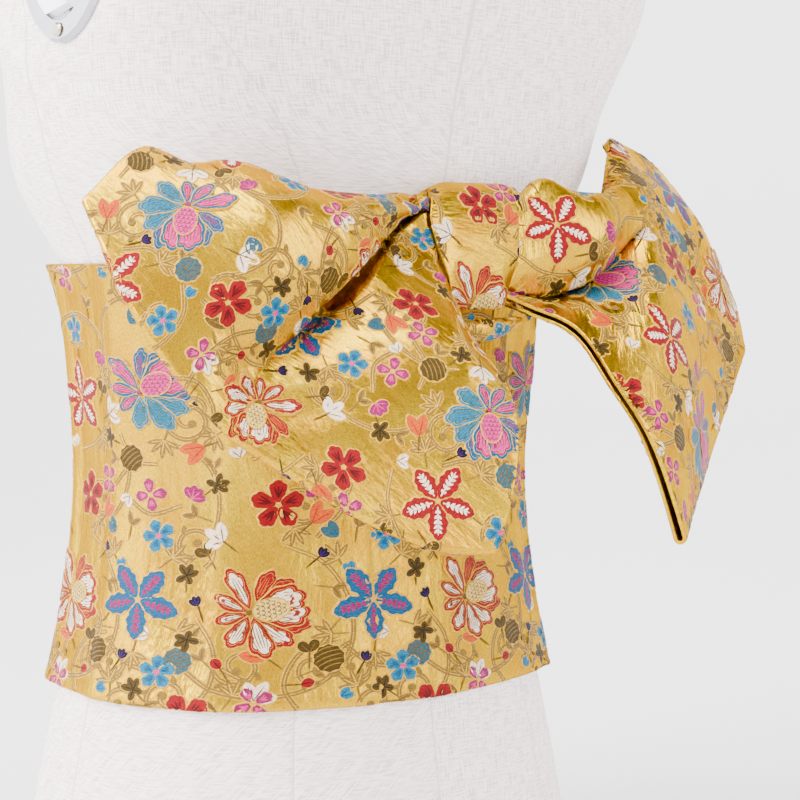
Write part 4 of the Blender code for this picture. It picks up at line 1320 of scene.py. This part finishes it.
def declare(flat, woven, looks):
    """Dresses a cloth's woven figures and works out the size its face was cut to, which nothing uses.

    The cloth is doubled, so its whole cut is twice that."""
    for piece in woven:
        finish_piece(piece, looks["threads"])
    width, length = (float(span) for span in np.ptp(flat.reshape(-1, 2), axis=0))
    a, b = flat[1:, 1:] - flat[:-1, :-1], flat[1:, :-1] - flat[:-1, 1:]
    area = float(abs((a[..., 0] * b[..., 1] - a[..., 1] * b[..., 0]) / 2).sum())
    area = min(area, width * length)


def cloth_uv(obj, face, flat):
    """Gives every vertex of a cloth piece the flat coordinates of the nearest place on its face."""
    points = face.reshape(-1, 3)
    tree = KDTree(len(points))
    for index, point in enumerate(points):
        tree.insert(point, index)
    tree.balance()
    nearest = [tree.find(vertex.co)[1] for vertex in obj.data.vertices]
    set_uv(obj, "cloth", flat.reshape(-1, 2)[nearest])


def dress(slab_parts, node, flat, normals, figures, looks, pattern):
    """Finishes a doubled cloth: its look, flat coordinates and woven figures; its cut size is worked out but not
    used.

    The pattern is what weave takes after the figures."""
    obj, face = slab_parts
    finish_piece(obj, looks["brocade"], [node])
    cloth_uv(obj, face, flat)
    woven = weave(obj.name, Face(face, flat, normals), figures, *pattern[:3], scale=pattern[3])
    declare(flat, woven, looks)
    return obj


def wing_grid(sections, side, slit=True):
    """The middle surface of a wing and its outward normals, from the front root round to the back root."""
    face = wing_face(sections, side, WING_ALONG, WING_ACROSS)
    opening = np.clip(np.linspace(0, 1, WING_ALONG) / OPEN_BY, 0, 1)[:, None, None]
    shut = smooth_step((np.arange(WING_ACROSS) - REAR_EDGE) / (REAR_SHUT - REAR_EDGE))[:, None]
    gap = (ROOT_GAP + (WING_GAP - ROOT_GAP) * opening) * (1 - REAR_CLOSING * shut)
    normals = face_normals(face, side, opening)
    if slit:
        face = slit_fold(face, side)
    front = face - normals * WING_WALL / 2
    back = face - normals * (1.5 * WING_WALL + gap)
    middle = (front[-1] + back[-1]) / 2
    radius = np.linalg.norm(front[-1] - back[-1], axis=-1, keepdims=True) / 2
    outward, normals = unit(face[-1] - face[-2]), unit(normals)
    turns = np.linspace(0, math.pi, FOLD_STEPS + 1)[1:-1]
    fold_normals = np.array([normals[-1] * math.cos(t) + outward * math.sin(t) for t in turns])
    rows = np.concatenate([front, middle + fold_normals * radius, back[::-1]])
    return rows, np.concatenate([normals, fold_normals, -normals[::-1]])


def make_wing(name, sections, side, figures, looks, pattern):
    """A wing of doubled brocade with its woven figures, which are laid out as if it had no slit."""
    rows, normals = wing_grid(sections, side)
    _, plain = shell(*wing_grid(sections, side, slit=False), WING_WALL)
    flat = flat_doubled(plain, WING_ALONG + FOLD_STEPS // 2)
    parts = slab(name, rows, normals, WING_WALL)
    return dress(parts, "bow_" + name, flat, normals, figures, looks, pattern)


def make_band(figures, looks):
    """The waist band: one tube of doubled brocade, its edges folded."""
    ups = np.linspace(BAND_BOTTOM, BAND_TOP, BAND_ROWS)
    middle = np.moveaxis(band_surface(ups, ring_angles(BAND_AROUND)), 0, 1)
    out = unit((middle - middle.mean(axis=0, keepdims=True)) * (1, 1, 0))
    loop, face = shell(middle + out * BAND_WALL / 2, out, BAND_WALL, rise=(0, 0, 1))
    faces = grid_faces(*loop.shape[:2], close_rows=True, close_columns=True)
    obj = mesh_object("band", loop.reshape(-1, 3), faces, turn_out=True)
    face, out = (np.concatenate([grid[-BAND_LAP:], grid, grid[:BAND_LAP]]) for grid in (face, out))
    along = travelled(face[:, face.shape[1] // 2], 0)
    along -= along[BAND_LAP]
    up = travelled(face, 1).mean(axis=0) - EDGE_ROWS * BAND_EDGE_STEP
    flat = np.stack(np.broadcast_arrays(along[:, None], up[None, :]), axis=-1)
    finish_piece(obj, looks["brocade"], ["obi_band"])
    once = slice(BAND_LAP, BAND_LAP + BAND_AROUND)
    cloth_uv(obj, face[once], flat[once])
    lap = BAND_REPEATS * REPEAT[0] * CM * PATTERN_SCALE
    face_map = Face(face, flat / (along[once.stop] / lap, 1), out)
    woven = weave("band", face_map, figures, BAND_PATTERN, 0, lap=lap)
    declare(flat[BAND_LAP : once.stop + 1], woven, looks)


HUG_SHARES = (1.0, 0.72, 0.45, 0.22, 0.08)  # of the move, from a strip's edge inwards
HUG_GAP = 0.6 * MM
HUG_LIMIT = 4.5 * MM
HUG_PASSES = 6
WRAP_AROUND, WRAP_ACROSS = 144, 25


def hug(middle, wings):
    """Draws the strip's two edges in until they lie on the wings."""
    moved = middle.copy()
    for first, way, wing in zip((0, middle.shape[1] - 1), (1, -1), wings):
        mesh = wing.data
        tree = BVHTree.FromPolygons([v.co for v in mesh.vertices], [p.vertices for p in mesh.polygons])
        drawn = []
        for point in middle[:, first]:
            place, _, _, gap = tree.find_nearest(Vector(point))
            room = min(max(gap - WRAP_WALL / 2 - HUG_GAP, 0), HUG_LIMIT)
            drawn.append((np.array(place) - point) / max(gap, 1e-9) * room)
        drawn = np.array(drawn)
        for _ in range(HUG_PASSES):
            drawn = (np.roll(drawn, 1, axis=0) + 2 * drawn + np.roll(drawn, -1, axis=0)) / 4
        for k, share in enumerate(HUG_SHARES):
            moved[:, first + way * k] += drawn * share
    return moved


def on_side(side, out, up):
    """Points in metres from how far they are to the form's left, out behind it and up, in cm."""
    return np.stack(np.broadcast_arrays(side, out, up), axis=-1) * CM + (0, 0, WAIST_HEIGHT)


def make_wrap(figures, looks, wings):
    """The strip round the middle of the bow, wider at its top, its edges standing up a little."""
    loop = around(WRAP, WRAP_AROUND)
    outward = unit(loop[:, :2] - loop[:, :2].mean(axis=0))
    columns = []
    for share in np.linspace(0, 1, WRAP_ACROSS):
        out, up = (loop[:, :2] + outward * WRAP_FLARE * (2 * share - 1) ** 4).T
        columns.append(on_side(loop[:, 2] + (loop[:, 3] - loop[:, 2]) * share, out, up))
    outward = np.column_stack([np.zeros(len(loop)), outward])
    normals = np.repeat(outward[:, None], WRAP_ACROSS, axis=1)
    middle = hug(np.stack(columns, axis=1) - normals * WRAP_WALL / 2, wings)
    closed, normals = (np.concatenate([grid, grid[:1]]) for grid in (middle, normals))
    parts = slab("wrap", closed, normals, WRAP_WALL)
    flat = flat_cloth(parts[1])
    dress(parts, "bow_wrap", flat, normals, figures, looks, WRAP_PATTERN)


GATHER_PLEATS = 9
GATHER_PLEAT_DEPTH = 0.10
GATHER_CENTRE = (10.95, 10.9)
GATHER_HALF = (0.72, 1.35)
GATHER_ENDS = (-2.0, -1.7, 0, 1.6, 1.9)  # sideways, and its scale at each
GATHER_SCALES = (0.75, 1.0, 0.95, 1.0, 0.75)


def make_gather(looks):
    """The pleated middle inside the wrap."""
    angles = ring_angles(24 * GATHER_PLEATS)
    pleats = GATHER_PLEAT_DEPTH * np.sin(angles * GATHER_PLEATS)
    rows = []
    for side in np.linspace(GATHER_ENDS[0], GATHER_ENDS[-1], 27):
        scale = np.interp(side, GATHER_ENDS, GATHER_SCALES)
        reach = [half * scale + pleats for half in GATHER_HALF]
        out, up = GATHER_CENTRE[0] + reach[0] * np.cos(angles), GATHER_CENTRE[1] + reach[1] * np.sin(angles)
        rows.append(on_side(side, out, up))
    points = np.array(rows)
    rows, columns = points.shape[:2]
    faces = grid_faces(rows, columns, close_columns=True).tolist()
    faces += [list(range(start, start + columns)) for start in (0, (rows - 1) * columns)]
    points = points.reshape(-1, 3)
    obj = mesh_object("gather", points, faces, turn_out=True)
    set_uv(obj, "cloth", points[:, [0, 2]])
    finish_piece(obj, looks["brocade"], ["bow_gather"])


PLEAT_DROP = 0.22  # cm, so a dark slit shows between it and the wrap
# Its section from its upper edge round the front to its back: out in cm, and up as a share of its height.
PLEAT_SECTION = [
    (-0.16, 0.36), (0.02, 0.15), (-0.02, -0.20), (-0.20, -0.48), (-0.50, -0.45),
    (-0.60 * PLEAT_REACH, -0.20), (-PLEAT_REACH, 0.0),
]


def make_low_pleat(figures, looks):
    """The lowest pleat, folded forward below the wrap."""
    stations = np.arange(len(LOW_PLEAT))
    rows = []
    for side, out, up, height in curve_through(stations, LOW_PLEAT, np.linspace(0, stations[-1], 49)):
        section = [(out + away, up - PLEAT_DROP + height * rise) for away, rise in PLEAT_SECTION]
        fine = curve_through(np.arange(len(section)), section, np.linspace(0, len(section) - 1, 31))
        rows.append(on_side(side, *fine.T))
    middle = np.array(rows)
    normals = grid_normals(middle)
    normals = normals * np.sign(normals[..., 1].mean() + 1e-9)
    parts = slab("low_pleat", middle, normals, WRAP_WALL)
    flat = flat_cloth(parts[1])
    dress(parts, "bow_low_pleat", flat, normals, figures, looks, PLEAT_PATTERN)


# Where the form's back princess seams run, which its other seams follow: height, angle in degrees.
SEAM_ROWS = [
    (-20.5, 59.0), (-9.0, 59.0), (0.0, 62.0), (10.0, 64.5), (13.9, 64.2), (16.3, 60.5), (18.0, 54.8),
    (19.7, 48.8), (21.0, 43.5), (30.0, 20.0), (41.0, 18.0),
]
FRONT_SEAM_TURN = 14  # cm up, where the front seams turn from mirroring the back ones to run straight
SHOULDER_UP = 36  # cm up, above which the rings are closer
PLATE_LAP = 0.75  # cm of linen beneath a plate's rim
PLATE_SIDE = 8 * CM  # the dishes' least distance from the middle
FORM_AROUND = 176


def seam_phase(up, angles):
    """A count that is a whole number on each seam: front, side and back ones on either half."""
    back = np.interp(up, *zip(*SEAM_ROWS))
    front = -back if up < FRONT_SEAM_TURN else -58.0
    marks = (-90 - 1e-6, front, min(0.0, back - 44), back, 90 + 1e-6)
    folded = half_turn(np.degrees(angles))
    mirrored = np.where(folded > 90, 180 - folded, np.where(folded < -90, -180 - folded, folded))
    return np.interp(mirrored, marks, range(5))


def make_form(looks):
    """The linen torso, left open where the arm plates' dishes sit in it."""
    ups = np.concatenate([
        np.linspace(FORM[0].up, SHOULDER_UP, 130, endpoint=False),
        np.linspace(SHOULDER_UP, FORM[-1].up, 30),
    ])
    angles = ring_angles(FORM_AROUND) + math.radians(90)
    rings = np.array([form_ring(up, angles) for up in ups])
    rows, columns = rings.shape[:2]
    faces = grid_faces(rows, columns, close_columns=True)
    middles = rings.reshape(-1, 3)[faces].mean(axis=1)
    back, up = middles[:, 1] / CM - PLATE_CENTRE[0], (middles[:, 2] - WAIST_HEIGHT) / CM - PLATE_CENTRE[1]
    reach = (back / (PLATE_HALF[0] - PLATE_LAP)) ** 2 + (up / (PLATE_HALF[1] - PLATE_LAP)) ** 2
    faces = faces[(reach >= 1) | (np.abs(middles[:, 0]) <= PLATE_SIDE)].tolist()
    along = travelled(np.concatenate([rings, rings[:, :1]], axis=1), 1)
    phase = np.array([seam_phase(up, angles) for up in ups])
    width = along[:, -1] / 8
    cloth_uvs, seam_uvs = [], []
    for face in faces:
        for corner in face:
            row, column = divmod(corner, columns)
            lap = column if column or face[0] % columns != columns - 1 else columns
            cloth_uvs.append((along[row, lap], ups[row] * CM))
            seam_uvs.append((phase[row, column], width[row]))
    cloth_uvs += rings[0, :, :2].tolist()
    seam_uvs += [(0.5, width[0])] * columns
    obj = mesh_object("torso", rings.reshape(-1, 3), faces + [list(range(columns))])
    for name, values in (("cloth", cloth_uvs), ("seams", seam_uvs)):
        layer = obj.data.uv_layers.new(name=name)
        layer.data.foreach_set("uv", np.array(values, np.float32).ravel())
    finish_piece(obj, looks["linen"], ["form_torso"])


def dress_cad_nodes(looks):
    """The neck cap, arm plates and screws keep their own meshes."""
    named = [("form_neck_cap", "cap")]
    named += [(f"form_arm_plate_{side}", "chrome") for side in ("left", "right")]
    named += [(f"form_screw_{side}", "screw") for side in ("left", "right")]
    for node, look in named:
        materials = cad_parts[node].data.materials
        materials.clear()
        materials.append(looks[look])


def main():
    add_camera()
    for light in LIGHTS:
        add_light(*light)
    add_stage()
    looks = {
        "brocade": brocade_look(),
        "threads": thread_look(),
        "linen": linen_look(),
        "chrome": chrome_look(),
        "cap": cap_look(),
        "screw": chrome_look("screw", (0.52, 0.44, 0.34), (0.25, 0.4)),
    }
    figures = build_figures()
    make_form(looks)
    dress_cad_nodes(looks)
    make_band(figures, looks)
    left = make_wing("wing_left", LEFT_WING, 1, figures, looks, LEFT_PATTERN)
    right = make_wing("wing_right", RIGHT_WING, -1, figures, looks, RIGHT_PATTERN)
    make_wrap(figures, looks, (left, right))
    make_gather(looks)
    make_low_pleat(figures, looks)


main()
